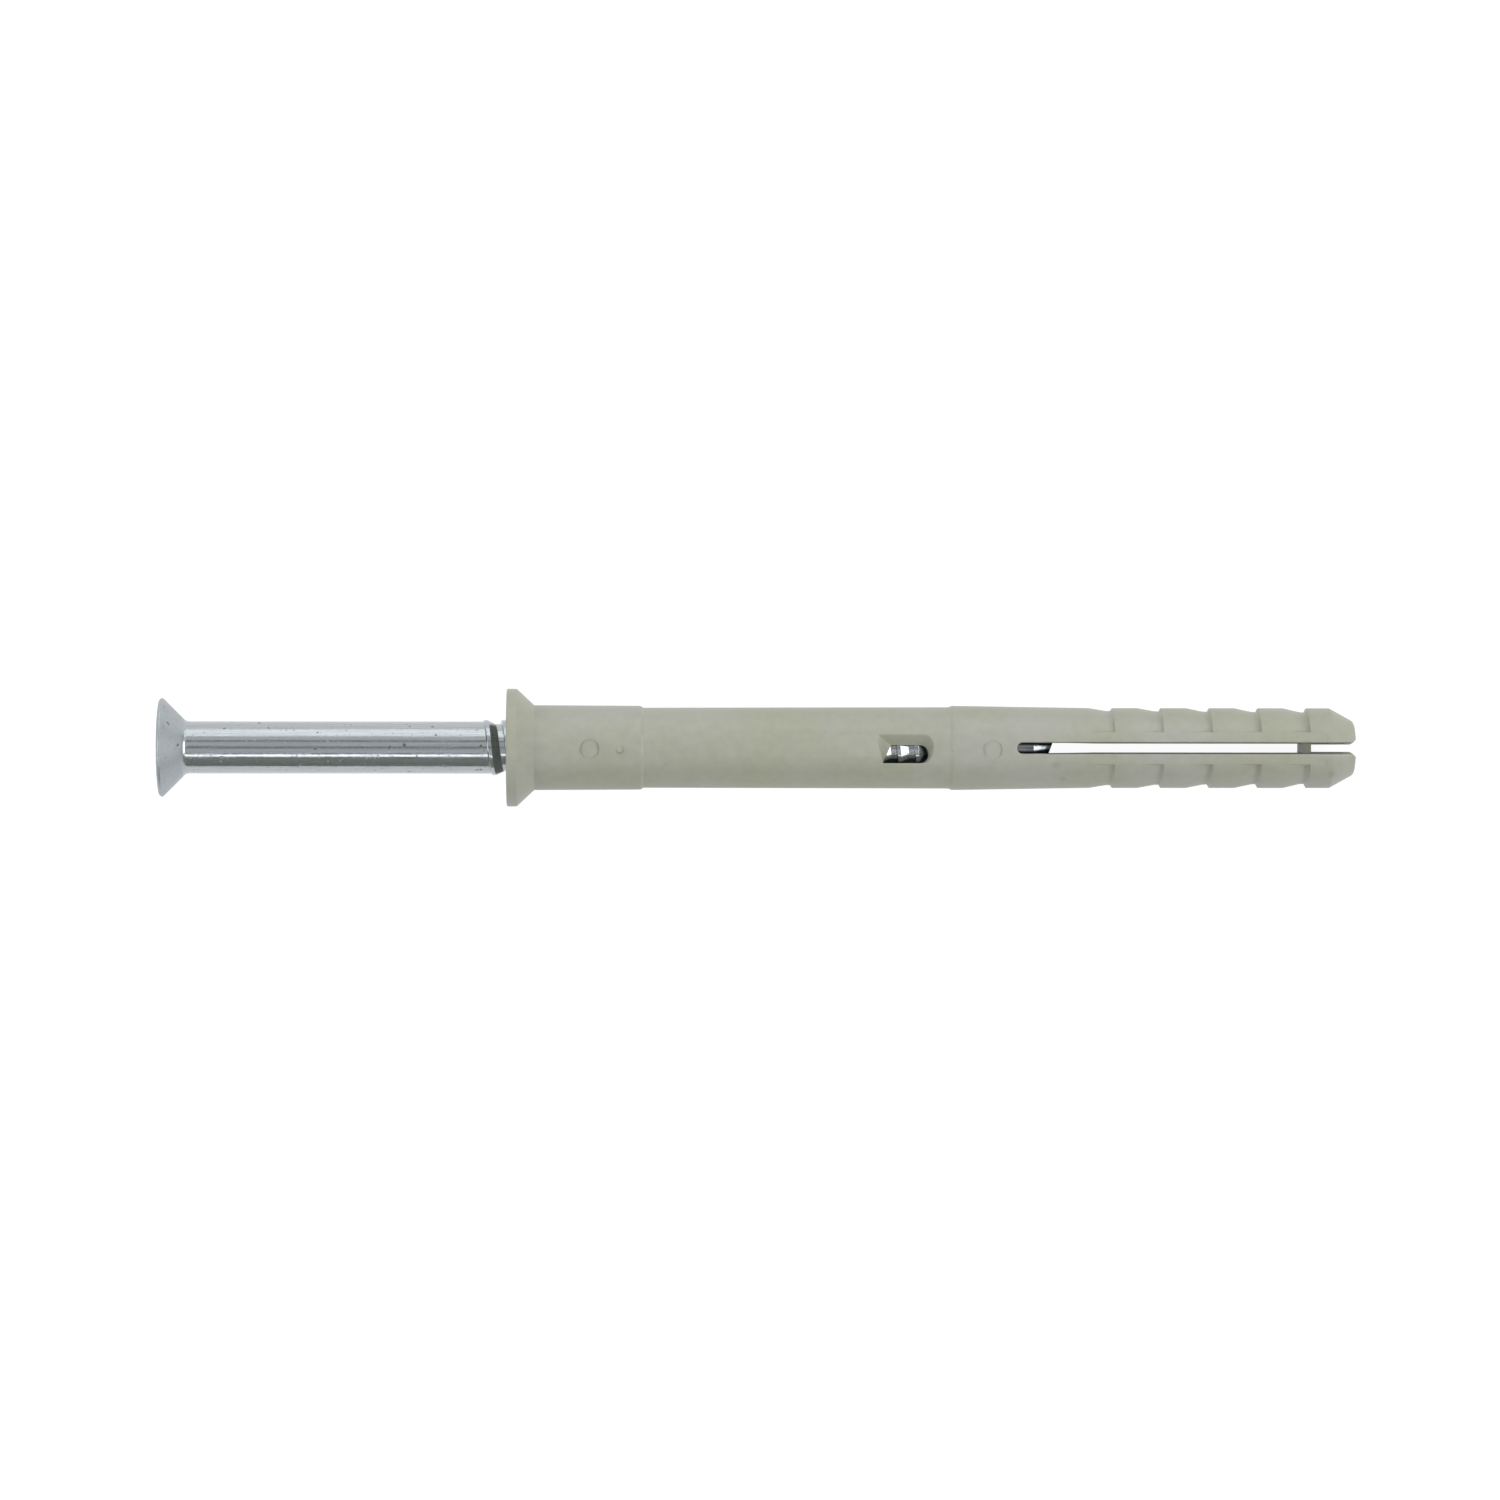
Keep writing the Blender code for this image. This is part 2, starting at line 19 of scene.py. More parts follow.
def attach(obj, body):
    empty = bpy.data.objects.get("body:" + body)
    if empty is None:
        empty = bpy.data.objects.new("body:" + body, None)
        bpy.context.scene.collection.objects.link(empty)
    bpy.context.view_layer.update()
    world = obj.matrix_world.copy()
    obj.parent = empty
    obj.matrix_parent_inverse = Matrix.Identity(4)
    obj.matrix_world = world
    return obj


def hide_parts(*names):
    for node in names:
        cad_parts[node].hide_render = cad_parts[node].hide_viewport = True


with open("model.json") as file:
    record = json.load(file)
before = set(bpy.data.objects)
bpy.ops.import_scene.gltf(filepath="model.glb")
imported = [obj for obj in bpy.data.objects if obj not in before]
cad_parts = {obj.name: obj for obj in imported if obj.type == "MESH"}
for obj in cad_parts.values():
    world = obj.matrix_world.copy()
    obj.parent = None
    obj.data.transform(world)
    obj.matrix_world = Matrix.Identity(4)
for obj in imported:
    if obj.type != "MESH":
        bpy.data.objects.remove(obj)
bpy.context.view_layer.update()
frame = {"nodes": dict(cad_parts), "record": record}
print("CAD nodes:", sorted(frame["nodes"]))

# %% [markdown]
# Where the anchor lies
#
# The anchor rests on its side, on the rim of its collar and on its tip, so its axis leans a
# little. It is far easier to model it standing up, in millimetres, with the mouth of the sleeve
# at height 0 and the head above, and to lay each finished mesh down once. The CAD model's two
# flat faces tell where the axis runs: they give the matrix that does it. In this frame X is the
# side that faces the sky once the anchor lies, and Y stays as it is.

# %% The anchor's own frame, standing up, in millimetres
MM = 0.001
mounts = {mount["name"]: mount for mount in frame["record"]["mounts"]}
along = Vector(mounts["sleeve_mouth"]["axis"])
across = Vector((0.0, 1.0, 0.0))
skyward = across.cross(along)


def on_axis(mount):
    """The point of the anchor's axis that is level with a mount."""
    point = Vector(mounts[mount]["pos_m"])
    point.y = 0.0
    return point


mouth = on_axis("sleeve_mouth")
LAY_DOWN = Matrix.Translation(mouth) @ Matrix((skyward, across, along)).transposed().to_4x4()
LAY_DOWN = LAY_DOWN @ Matrix.Scale(MM, 4)
NAIL_STAND_OUT = (on_axis("nail_head") - mouth).length / MM
print(f"The head stands {NAIL_STAND_OUT:.2f} mm out of the sleeve")

# %% [markdown]
# The camera
#
# The anchor was photographed from above, with the lens over its neck and about half a metre
# away. That shows in small things: the steps near the tip bow outwards while the collar's edge
# is straight, and the web in the slot shows the side that faces the head. So the camera stands
# over the neck and looks at the middle of the picture, a little askew.

# %% Camera
CAMERA_DISTANCE = 0.52
CAMERA_OVER = (0.0, 3.0, -8.3)
VIEW_CENTRE = (0.0, -0.21, -22.93)
PICTURE_WIDTH = 0.14151
SENSOR_WIDTH = 36.0
CLIP_START = 0.01
CAMERA_ROLL = math.radians(0.05)

camera = bpy.data.objects.new("camera", bpy.data.cameras.new("camera"))
bpy.context.scene.collection.objects.link(camera)
bpy.context.scene.camera = camera
standpoint = LAY_DOWN @ Vector(CAMERA_OVER) + skyward * CAMERA_DISTANCE
gaze = LAY_DOWN @ Vector(VIEW_CENTRE) - standpoint
camera.data.sensor_width = SENSOR_WIDTH
camera.data.lens = SENSOR_WIDTH * gaze.length / PICTURE_WIDTH
camera.data.clip_start = CLIP_START
backward = -gaze.normalized()
rightward = across.cross(backward).normalized()
upward = backward.cross(rightward)
turned = Matrix((rightward, upward, backward)).transposed() @ Matrix.Rotation(CAMERA_ROLL, 3, "Z")
camera.matrix_world = Matrix.Translation(standpoint) @ turned.to_4x4()
print(f"Lens {camera.data.lens:.0f} mm")

# %% [markdown]
# Outlines and turned forms
#
# A nail is drawn, headed and rolled, and the core of a mould is turned on a lathe, so most forms
# here are round. Each begins as an outline of (radius, height) corners. A corner may carry a
# third number, the radius that rounds it, because no real edge is perfectly sharp. The outline
# is then spun about the axis. A Screw modifier would do the same, but a bmesh spin leaves a
# mesh that the next operators can work on at once.

# %% Rounded outlines, and the lathe
ARC_SEGMENTS = 5
TINY = 0.0005


def rounded(corners):
    """The outline's points, with an arc at each corner that has a rounding."""
    points = []
    neighbours = zip(corners[:1] + corners, corners, corners[1:] + corners[-1:])
    for before, corner, after in neighbours:
        middle = Vector(corner[:2])
        if len(corner) == 2:
            points.append(middle)
            continue
        back = (Vector(before[:2]) - middle).normalized()
        onward = (Vector(after[:2]) - middle).normalized()
        half = back.angle(onward) / 2
        centre = middle + (back + onward).normalized() * (corner[2] / math.sin(half))
        reach = corner[2] / math.tan(half)
        first = middle + back * reach - centre
        last = middle + onward * reach - centre
        steps = [i / ARC_SEGMENTS for i in range(ARC_SEGMENTS + 1)]
        points += [centre + first.slerp(last, step) * corner[2] for step in steps]
    return points


def spun(points, steps, closed=False):
    """A solid turned about the axis from an outline's points."""
    bm = bmesh.new()
    verts = [bm.verts.new((point[0], 0.0, point[1])) for point in points]
    edges = [bm.edges.new(pair) for pair in zip(verts, verts[1:])]
    if closed:
        edges.append(bm.edges.new((verts[-1], verts[0])))
    bmesh.ops.spin(
        bm,
        geom=verts + edges,
        cent=(0, 0, 0),
        axis=(0, 0, 1),
        angle=math.tau,
        steps=steps,
        use_merge=True,
    )
    bmesh.ops.remove_doubles(bm, verts=bm.verts, dist=TINY)
    bmesh.ops.recalc_face_normals(bm, faces=bm.faces)
    return bm


# %% [markdown]
# Cutting, joining and finishing
#
# A mould shapes nylon the way a cutter would: a slot, a window and a bore are all forms taken
# away. bmesh has no Boolean of its own, so a small helper lends both forms to two passing
# objects, lets the exact Boolean modifier work, and takes the result back. Other helpers make
# rings of edges, bridge them into a form and round edges. The last one lays a finished form down
# and makes it a piece that rides on the anchor's one body.

# %% Exact Booleans, and finished pieces
BEVEL_SEGMENTS = 2
ROUND_PROFILE = 0.5


def passing_object(bm):
    """An object for a bmesh, for as long as a modifier needs it."""
    mesh = bpy.data.meshes.new("passing")
    bm.to_mesh(mesh)
    bm.free()
    obj = bpy.data.objects.new("passing", mesh)
    bpy.context.scene.collection.objects.link(obj)
    return obj


def combined(form, other, operation):
    """One form with another taken from it (DIFFERENCE) or joined to it (UNION)."""
    first = passing_object(form)
    second = passing_object(other)
    boolean = first.modifiers.new("boolean", "BOOLEAN")
    boolean.operation = operation
    boolean.solver = "EXACT"
    boolean.object = second
    bpy.context.view_layer.update()
    result = bmesh.new()
    result.from_object(first, bpy.context.evaluated_depsgraph_get())
    for obj in (first, second):
        bpy.data.meshes.remove(obj.data)
    bmesh.ops.remove_doubles(result, verts=result.verts, dist=TINY)
    bmesh.ops.dissolve_degenerate(result, edges=result.edges, dist=TINY)
    return result


def ring_of_edges(bm, points):
    """Edges that join points in a ring."""
    verts = [bm.verts.new(point) for point in points]
    return [bm.edges.new((verts[i - 1], verts[i])) for i in range(len(verts))]


def lofted(bm, rings):
    """A closed form through rings of as many corners each."""
    for first, second in zip(rings, rings[1:]):
        bmesh.ops.bridge_loops(bm, edges=first + second)
    for ring in (rings[0], rings[-1]):
        bmesh.ops.contextual_create(bm, geom=ring)
    bmesh.ops.recalc_face_normals(bm, faces=bm.faces)
    return bm


def bevelled(bm, edges, radius):
    """Rounds edges of a form."""
    bmesh.ops.bevel(
        bm,
        geom=edges,
        offset=radius,
        segments=BEVEL_SEGMENTS,
        profile=ROUND_PROFILE,
        affect="EDGES",
        material=-1,
    )


def finished(bm, name, node, sharp_angle):
    """Lays a form down in its place as a piece that stands for a CAD node."""
    loose = [edge for edge in bm.edges if not edge.link_faces]
    bmesh.ops.delete(bm, geom=loose, context="EDGES")
    bmesh.ops.recalc_face_normals(bm, faces=bm.faces)
    bm.transform(LAY_DOWN)
    mesh = bpy.data.meshes.new(name)
    bm.to_mesh(mesh)
    bm.free()
    mesh.shade_smooth()
    mesh.set_sharp_from_angle(angle=math.radians(sharp_angle))
    piece = bpy.data.objects.new(name, mesh)
    bpy.context.scene.collection.objects.link(piece)
    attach(piece, "root")
    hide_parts(node)
    mesh.calc_loop_triangles()
    print(f"{name}: {len(mesh.loop_triangles)} triangles")
    return piece


# %% [markdown]
# The rolled thread
#
# The nail's thread is rolled: two dies squeeze a plain wire, so metal from the grooves swells
# into the ridges, which stand a little proud of the shank. The ridges are saw-shaped, gentle
# towards the point and steep towards the head, so that the nail drives in like a nail and comes
# out only like a screw. A section one pitch long is wound down a right-hand helix. Each turn
# ends where the last began, so welding makes one sound skin, with no Boolean. The ridges grow
# out of the shank and sink into the point over part of a turn, as rolled ones do.

# %% Wind the thread
THREAD_STEPS = 72
PLAIN_SHANK_LENGTH = 30.0
NAIL_LENGTH = 84.4
SHANK_RADIUS = 2.46
THREAD_PITCH = 1.67
CREST_RADIUS = 2.6
ROOT_RADIUS = 2.225
STEEP_FLANK = 0.08
CREST_FLAT = 0.35
ROOT_FLAT = 0.5
CREST_ROUNDING = 0.05
GENTLE_CREST_ROUNDING = 3 * CREST_ROUNDING
ROOT_ROUNDING = 0.25
GROWING_TURNS = 0.22
POINT_LENGTH = 2.2
THREAD_END_TO_POINT = 0.8
SPARE_TURNS = 2
TURN_TOLERANCE = 0.001

thread_top = NAIL_STAND_OUT - PLAIN_SHANK_LENGTH
thread_length = NAIL_LENGTH - PLAIN_SHANK_LENGTH - POINT_LENGTH - THREAD_END_TO_POINT
thread_turns = thread_length / THREAD_PITCH - 1.0
crest_end = STEEP_FLANK + CREST_FLAT
thread_section = rounded(
    [
        (ROOT_RADIUS, 0.0),
        (CREST_RADIUS, -STEEP_FLANK, CREST_ROUNDING),
        (CREST_RADIUS, -crest_end, GENTLE_CREST_ROUNDING),
        (ROOT_RADIUS, ROOT_FLAT - THREAD_PITCH, ROOT_ROUNDING),
        (ROOT_RADIUS, -THREAD_PITCH),
    ]
)


def wound_thread():
    """The skin of the thread, with spare plain turns at each end."""
    bm = bmesh.new()
    top = thread_top + SPARE_TURNS * THREAD_PITCH
    verts = [bm.verts.new((-point.x, 0.0, top + point.y)) for point in thread_section]
    edges = [bm.edges.new(pair) for pair in zip(verts, verts[1:])]
    bmesh.ops.spin(
        bm,
        geom=verts + edges,
        cent=(0, 0, 0),
        axis=(0, 0, -1),
        dvec=(0, 0, -THREAD_PITCH / THREAD_STEPS),
        angle=math.tau,
        steps=THREAD_STEPS,
    )
    one_turn = list(bm.verts) + list(bm.edges) + list(bm.faces)
    for index in range(1, math.ceil(thread_turns + 2 * SPARE_TURNS)):
        copied = bmesh.ops.duplicate(bm, geom=one_turn)["geom"]
        copied_verts = [item for item in copied if isinstance(item, bmesh.types.BMVert)]
        bmesh.ops.translate(bm, verts=copied_verts, vec=(0, 0, -THREAD_PITCH * index))
    bmesh.ops.remove_doubles(bm, verts=bm.verts, dist=TINY)
    return bm


def eased(share):
    """A share from 0 to 1, with a soft start and end."""
    share = min(max(share, 0.0), 1.0)
    return share * share * (3.0 - 2.0 * share)


def turns_in(vert):
    """How many turns down the thread a point lies, from where the ridge begins."""
    turned = (math.pi - math.atan2(vert.co.y, vert.co.x)) / math.tau % 1.0
    fallen = (thread_top - vert.co.z) / THREAD_PITCH
    return turned + math.ceil(fallen - turned - TURN_TOLERANCE) - 1


nail = wound_thread()
for vert in nail.verts:
    turns = turns_in(vert)
    radius = vert.co.xy.length
    grown = SHANK_RADIUS + (radius - SHANK_RADIUS) * eased(turns / GROWING_TURNS)
    sunk = eased((turns - thread_turns) / GROWING_TURNS)
    vert.co.xy *= (grown + (ROOT_RADIUS - grown) * sunk) / radius
print(f"Thread of {thread_turns:.1f} turns, {len(nail.verts)} points")

# %% [markdown]
# Shank, head and point
#
# The same skin goes on into the shank, the head and the point. The spiral ends are trimmed flat
# with a plane, which leaves a ring of edges. Extruding that ring again and again, and setting
# each new ring's radius and height from the outline, draws the rest of the nail as one solid.
# The wire was sheared off at a slant, so a slanted plane trims the point, and a small bevel
# takes the edge off the cut.

# %% Carry the skin on to the head and the point
HEAD_RADIUS = 4.65
HEAD_RIM_HEIGHT = 0.35
HEAD_EDGE_ROUND = 0.3
HEAD_LOWER_EDGE_ROUND = HEAD_EDGE_ROUND / 4
HEAD_FILLET = 0.75
HEAD_FACE_RADIUS = HEAD_RADIUS * 0.8
POINT_RADIUS = 1.3
POINT_EDGE_ROUND = 0.3
# The spiral's ends are trimmed just beyond the thread, and a plain ring follows each trim. The
# shank's gaps are measured up from the thread, the point's up from where the point begins.
SHANK_TRIM_GAP = 0.1
SHANK_RING_GAP = 0.2
POINT_TRIM_GAP = 0.3
POINT_RING_GAP = 0.2
END_SLANT = math.radians(22)
END_ROUND = 0.07


def trimmed(bm, height, keep, slant=0.0):
    """Trims the form at a height, keeps what is above (1) or below (-1), returns the cut's edges."""
    normal = Matrix.Rotation(-slant, 3, "X") @ Vector((0, 0, keep))
    spot = Vector((0, 0, height))
    bmesh.ops.bisect_plane(
        bm,
        geom=list(bm.verts) + list(bm.edges) + list(bm.faces),
        plane_co=spot,
        plane_no=normal,
        clear_inner=True,
    )
    on_plane = {vert for vert in bm.verts if abs((vert.co - spot).dot(normal)) < TINY}
    return [edge for edge in bm.edges if edge.is_boundary and on_plane.issuperset(edge.verts)]


def carried_on(bm, ring, points):
    """Extrudes a ring through the points of an outline, and returns the last ring."""
    for radius, height in points:
        extruded = bmesh.ops.extrude_edge_only(bm, edges=ring)["geom"]
        ring = [item for item in extruded if isinstance(item, bmesh.types.BMEdge)]
        for vert in {vert for edge in ring for vert in edge.verts}:
            vert.co.xy *= radius / vert.co.xy.length
            vert.co.z = height
    return ring


cone_end = NAIL_STAND_OUT - HEAD_RIM_HEIGHT - (HEAD_RADIUS - SHANK_RADIUS)
head_outline = rounded(
    [
        (SHANK_RADIUS, thread_top + SHANK_RING_GAP),
        (SHANK_RADIUS, cone_end, HEAD_FILLET),
        (HEAD_RADIUS, NAIL_STAND_OUT - HEAD_RIM_HEIGHT, HEAD_LOWER_EDGE_ROUND),
        (HEAD_RADIUS, NAIL_STAND_OUT, HEAD_EDGE_ROUND),
        (HEAD_FACE_RADIUS, NAIL_STAND_OUT),
    ]
)
nail_tip = NAIL_STAND_OUT - NAIL_LENGTH
point_outline = rounded(
    [
        (ROOT_RADIUS, nail_tip + POINT_LENGTH + POINT_RING_GAP),
        (ROOT_RADIUS, nail_tip + POINT_LENGTH, POINT_EDGE_ROUND),
        (POINT_RADIUS, nail_tip),
    ]
)
top_ring = trimmed(nail, thread_top + SHANK_TRIM_GAP, keep=-1)
face_ring = carried_on(nail, top_ring, head_outline)
bottom_ring = trimmed(nail, nail_tip + POINT_LENGTH + POINT_TRIM_GAP, keep=1)
carried_on(nail, bottom_ring, point_outline)
shear_height = nail_tip + POINT_RADIUS * math.tan(END_SLANT)
sheared_ring = trimmed(nail, shear_height, keep=1, slant=END_SLANT)
bmesh.ops.contextual_create(nail, geom=sheared_ring)
bevelled(nail, sheared_ring, END_ROUND)
print(f"Nail from {nail_tip:.1f} to {NAIL_STAND_OUT:.1f} mm")

# %% [markdown]
# The cross recess
#
# A driven nail can be unscrewed again, so a cross is punched in its head. The punch tapers, and
# its edges are a little round. Two rings of edges, one in the face and a smaller one below, are
# bridged into walls. Triangles fill the face between the cross and the rim, and a bevel rounds
# the edges. That keeps the nail one skin, and a Boolean on so fine a mesh would be slow.

# %% Punch the recess
RECESS_SPAN = 5.3
RECESS_WING = 1.25
RECESS_FLOOR_SPAN = 2.2
RECESS_FLOOR_WING = 0.7
RECESS_DEPTH = 2.6
RECESS_EDGE_ROUND = 0.08
NAIL_SHARP_ANGLE = 35


def cross_ring(bm, span, wing, height):
    """A plus-shaped ring of twelve edges."""
    arm = [(span / 2, -wing / 2), (span / 2, wing / 2), (wing / 2, wing / 2)]
    quarters = [Matrix.Rotation(i * math.pi / 2, 3, "Z") for i in range(4)]
    return ring_of_edges(bm, [turn @ Vector((x, y, height)) for turn in quarters for x, y in arm])


recess_end = NAIL_STAND_OUT - RECESS_DEPTH
recess_mouth = cross_ring(nail, RECESS_SPAN, RECESS_WING, NAIL_STAND_OUT)
recess_floor = cross_ring(nail, RECESS_FLOOR_SPAN, RECESS_FLOOR_WING, recess_end)
bmesh.ops.triangle_fill(nail, edges=face_ring + recess_mouth, use_dissolve=False)
walls = bmesh.ops.bridge_loops(nail, edges=recess_mouth + recess_floor)
bmesh.ops.contextual_create(nail, geom=recess_floor)
bevelled(nail, recess_mouth + walls["edges"], RECESS_EDGE_ROUND)
drive_nail = finished(nail, "zinc_plated_nail", "drive_nail", NAIL_SHARP_ANGLE)
print(f"Cross recess {RECESS_DEPTH:.1f} mm deep")

# %% [markdown]
# The sleeve's round forms
#
# The sleeve is one moulding. Its outside is a row of rings: the collar that sits flush in the
# wall, a neck, a thinner waist, a shoulder, and the legs that the nail spreads. Its inside is a
# countersink, a bore and a narrow pilot. Both lie on one outline that begins and ends on the
# axis, so a single spin makes the wall with its bore.

# %% Turn the sleeve
SLEEVE_STEPS = 192
SLEEVE_LENGTH = 80.0
COLLAR_RADIUS = 5.55
COLLAR_RIM_HEIGHT = 0.95
COLLAR_CONE_HEIGHT = 1.65
NECK_RADIUS = 4.0
NECK_END_RADIUS = 3.95
NECK_LENGTH = 10.0
NECK_STEP_LENGTH = 0.28
WAIST_RADIUS = 3.775
WAIST_END_RADIUS = 3.84
WAIST_LENGTH = 28.75
SHOULDER_STEP_LENGTH = 0.35
SHOULDER_RADIUS = 3.975
SHOULDER_LENGTH = 12.9
LEG_RADIUS = 3.775
TIP_RADIUS = 2.5
TIP_CHAMFER_LENGTH = 2.3
TIP_ROUND = 0.45
BORE_RADIUS = 2.75
BORE_PAST_NAIL = 0.8
BORE_TAPER_LENGTH = 3.0
PILOT_RADIUS = 1.65
WEB_TO_TIP = 4.2
WEB_THICKNESS = 0.85
COUNTERSINK_CLEARANCE = 0.2
COUNTERSINK_RADIUS = HEAD_RADIUS + COUNTERSINK_CLEARANCE
COUNTERSINK_EDGE_ROUND = 0.08
COLLAR_FACE_ROUND = 0.15
COLLAR_RIM_ROUND = 0.12
NECK_ROOT_ROUND = 0.08
NECK_STEP_ROUND = 0.12
WAIST_END_ROUND = 0.05
SHOULDER_ROUND = 0.2
SHOULDER_FADE_ROUND = 2.0
LEG_END_ROUND = 0.2

neck_start = COLLAR_RIM_HEIGHT + COLLAR_CONE_HEIGHT
neck_end = neck_start + NECK_LENGTH
waist_start = neck_end + NECK_STEP_LENGTH
waist_end = waist_start + WAIST_LENGTH
shoulder_start = waist_end + SHOULDER_STEP_LENGTH
shoulder_end = shoulder_start + SHOULDER_LENGTH
leg_end = SLEEVE_LENGTH - TIP_CHAMFER_LENGTH
bore_end = NAIL_LENGTH - NAIL_STAND_OUT + BORE_PAST_NAIL
pilot_end = SLEEVE_LENGTH - WEB_TO_TIP - WEB_THICKNESS / 2

sleeve_outline = rounded(
    [
        (0.0, -pilot_end),
        (PILOT_RADIUS, -pilot_end),
        (PILOT_RADIUS, -bore_end - BORE_TAPER_LENGTH),
        (BORE_RADIUS, -bore_end),
        (BORE_RADIUS, BORE_RADIUS - COUNTERSINK_RADIUS),
        (COUNTERSINK_RADIUS, 0.0, COUNTERSINK_EDGE_ROUND),
        (COLLAR_RADIUS, 0.0, COLLAR_FACE_ROUND),
        (COLLAR_RADIUS, -COLLAR_RIM_HEIGHT, COLLAR_RIM_ROUND),
        (NECK_RADIUS, -neck_start, NECK_ROOT_ROUND),
        (NECK_END_RADIUS, -neck_end, NECK_STEP_ROUND),
        (WAIST_RADIUS, -waist_start, WAIST_END_ROUND),
        (WAIST_END_RADIUS, -waist_end, WAIST_END_ROUND),
        (SHOULDER_RADIUS, -shoulder_start, SHOULDER_ROUND),
        (LEG_RADIUS, -shoulder_end, SHOULDER_FADE_ROUND),
        (LEG_RADIUS, -leg_end, LEG_END_ROUND),
        (TIP_RADIUS, -SLEEVE_LENGTH, TIP_ROUND),
        (0.0, -SLEEVE_LENGTH),
    ]
)
sleeve = spun(sleeve_outline, SLEEVE_STEPS)
print(f"Sleeve {2 * COLLAR_RADIUS:.1f} mm wide at the collar, {SLEEVE_LENGTH:.0f} mm long")

# %% [markdown]
# Teeth
#
# Five saw-toothed rings bite into the wall of the hole. Each is a groove: a ramp in, a short
# valley and a steep step out, a little deeper towards the tip. The mould opens sideways, so the
# grooves stop at a smooth strip on either side of the slot, and their ends lean so that the
# mould can pull away. One groove's section is spun, and a roof-shaped block trims its ends.

# %% Cut the teeth
TOOTH_COUNT = 5
TOOTH_PITCH = 4.6
TOOTH_DEPTH = 0.27
TOOTH_DEPTH_GROWTH = 0.03
TOOTH_RAMP_LENGTH = 1.65
TOOTH_VALLEY_LENGTH = 0.4
TOOTH_STEP_LENGTH = 0.18
LAST_TOOTH_TO_TIP = 4.45
STRIP_HALF_WIDTH = 1.5
STRIP_WALL_LEAN = 0.2
TOOTH_RAMP_ROUND = 1.5
TOOTH_ROOT_ROUND = 0.06
TOOTH_CREST_ROUND = 0.07
TOOTH_FLARE = 0.03
TOOTH_FLARE_LENGTH = 0.3
CUT_MARGIN = 1.0


def tooth_section(step_depth, depth):
    """One groove's section: flared at the crest of the step, so that the crest comes out round."""
    valley = LEG_RADIUS - depth
    valley_end = -step_depth + TOOTH_STEP_LENGTH
    valley_start = valley_end + TOOTH_VALLEY_LENGTH
    flare_end = -step_depth - TOOTH_FLARE_LENGTH
    return rounded(
        [
            (LEG_RADIUS + depth, valley_start + 2 * TOOTH_RAMP_LENGTH),
            (valley, valley_start, TOOTH_RAMP_ROUND),
            (valley, valley_end, TOOTH_ROOT_ROUND),
            (LEG_RADIUS, -step_depth, TOOTH_CREST_ROUND),
            (LEG_RADIUS + TOOTH_FLARE, flare_end),
            (LEG_RADIUS + depth, flare_end),
        ]
    )


def tooth_grooves(side):
    """The rings that cut one leg, without what the smooth strips keep; the side is 1 or -1."""
    bm = bmesh.new()
    for index in range(TOOTH_COUNT):
        step_depth = SLEEVE_LENGTH - LAST_TOOTH_TO_TIP - index * TOOTH_PITCH
        depth = TOOTH_DEPTH + (TOOTH_COUNT - 1 - index) * TOOTH_DEPTH_GROWTH
        ring = spun(tooth_section(step_depth, depth), SLEEVE_STEPS, closed=True)
        mesh = bpy.data.meshes.new("passing")
        ring.to_mesh(mesh)
        bm.from_mesh(mesh)
        bpy.data.meshes.remove(mesh)
        ring.free()
    skin = math.sqrt(LEG_RADIUS**2 - STRIP_HALF_WIDTH**2)
    reach = LEG_RADIUS + CUT_MARGIN
    ridge = STRIP_HALF_WIDTH + STRIP_WALL_LEAN * skin
    eaves = ridge - STRIP_WALL_LEAN * reach
    roof = [(reach, eaves), (0.0, ridge), (-reach, eaves), (-reach, -reach), (reach, -reach)]
    kept = bmesh.new()
    heights = (-SLEEVE_LENGTH, -SLEEVE_LENGTH / 2)
    ends = [ring_of_edges(kept, [(x, side * y, height) for x, y in roof]) for height in heights]
    return combined(bm, lofted(kept, ends), "DIFFERENCE")


for side in (1, -1):
    sleeve = combined(sleeve, tooth_grooves(side), "DIFFERENCE")
print(f"{TOOTH_COUNT} teeth on each leg")

# %% [markdown]
# Windows
#
# Two windows show how far the nail has gone in, and let the waist bend. Each is D-shaped, with a
# slanted end, and three of its walls slope, which lets the mould pull away. Its rim is rounded,
# as a polished mould leaves it. The cutter is a stack of rings with the same number of points:
# straight walls below, then an arc that flares out at the skin of the sleeve and follows its
# curve. A bevel would do for a flat plate, but on a curved skin it crumples.

# %% Cut the windows
WINDOW_TO_MOUTH = 34.8
WINDOW_SLANT = 0.52
WINDOW_LENGTH = 5.15
WINDOW_NOSE = 0.8
WINDOW_ABOVE_AXIS = 1.3
WINDOW_BELOW_AXIS = 1.42
WINDOW_SLOPE_REACH = 1.04
WINDOW_END_SLOPE_REACH = 1.3
WINDOW_NOSE_SLOPE_REACH = 0.33
WINDOW_FLOOR = 1.6
NOSE_SEGMENTS = 24
END_SEGMENTS = 10
SKIN_PASSES = 4
RIM_ROUND = 0.13
RIM_ANGLES = [math.radians(angle) for angle in (0, 22.5, 45, 67.5)]
RIM_FLARE_RISE = 0.5
RIM_FLARE_SPREAD = 3.5
WINDOW_LID_SPREAD = 1.0

rim_arc = [(RIM_ROUND * (1 - math.sin(a)), RIM_ROUND * (1 - math.cos(a))) for a in RIM_ANGLES]
# The last step of the arc, stretched until it has left the skin
rim_flare = (-RIM_ROUND * RIM_FLARE_RISE, RIM_ROUND * RIM_FLARE_SPREAD)


def square_to(step):
    """Direction that points out of an outline, square to one of its steps."""
    return Vector((step.y, -step.x)).normalized()


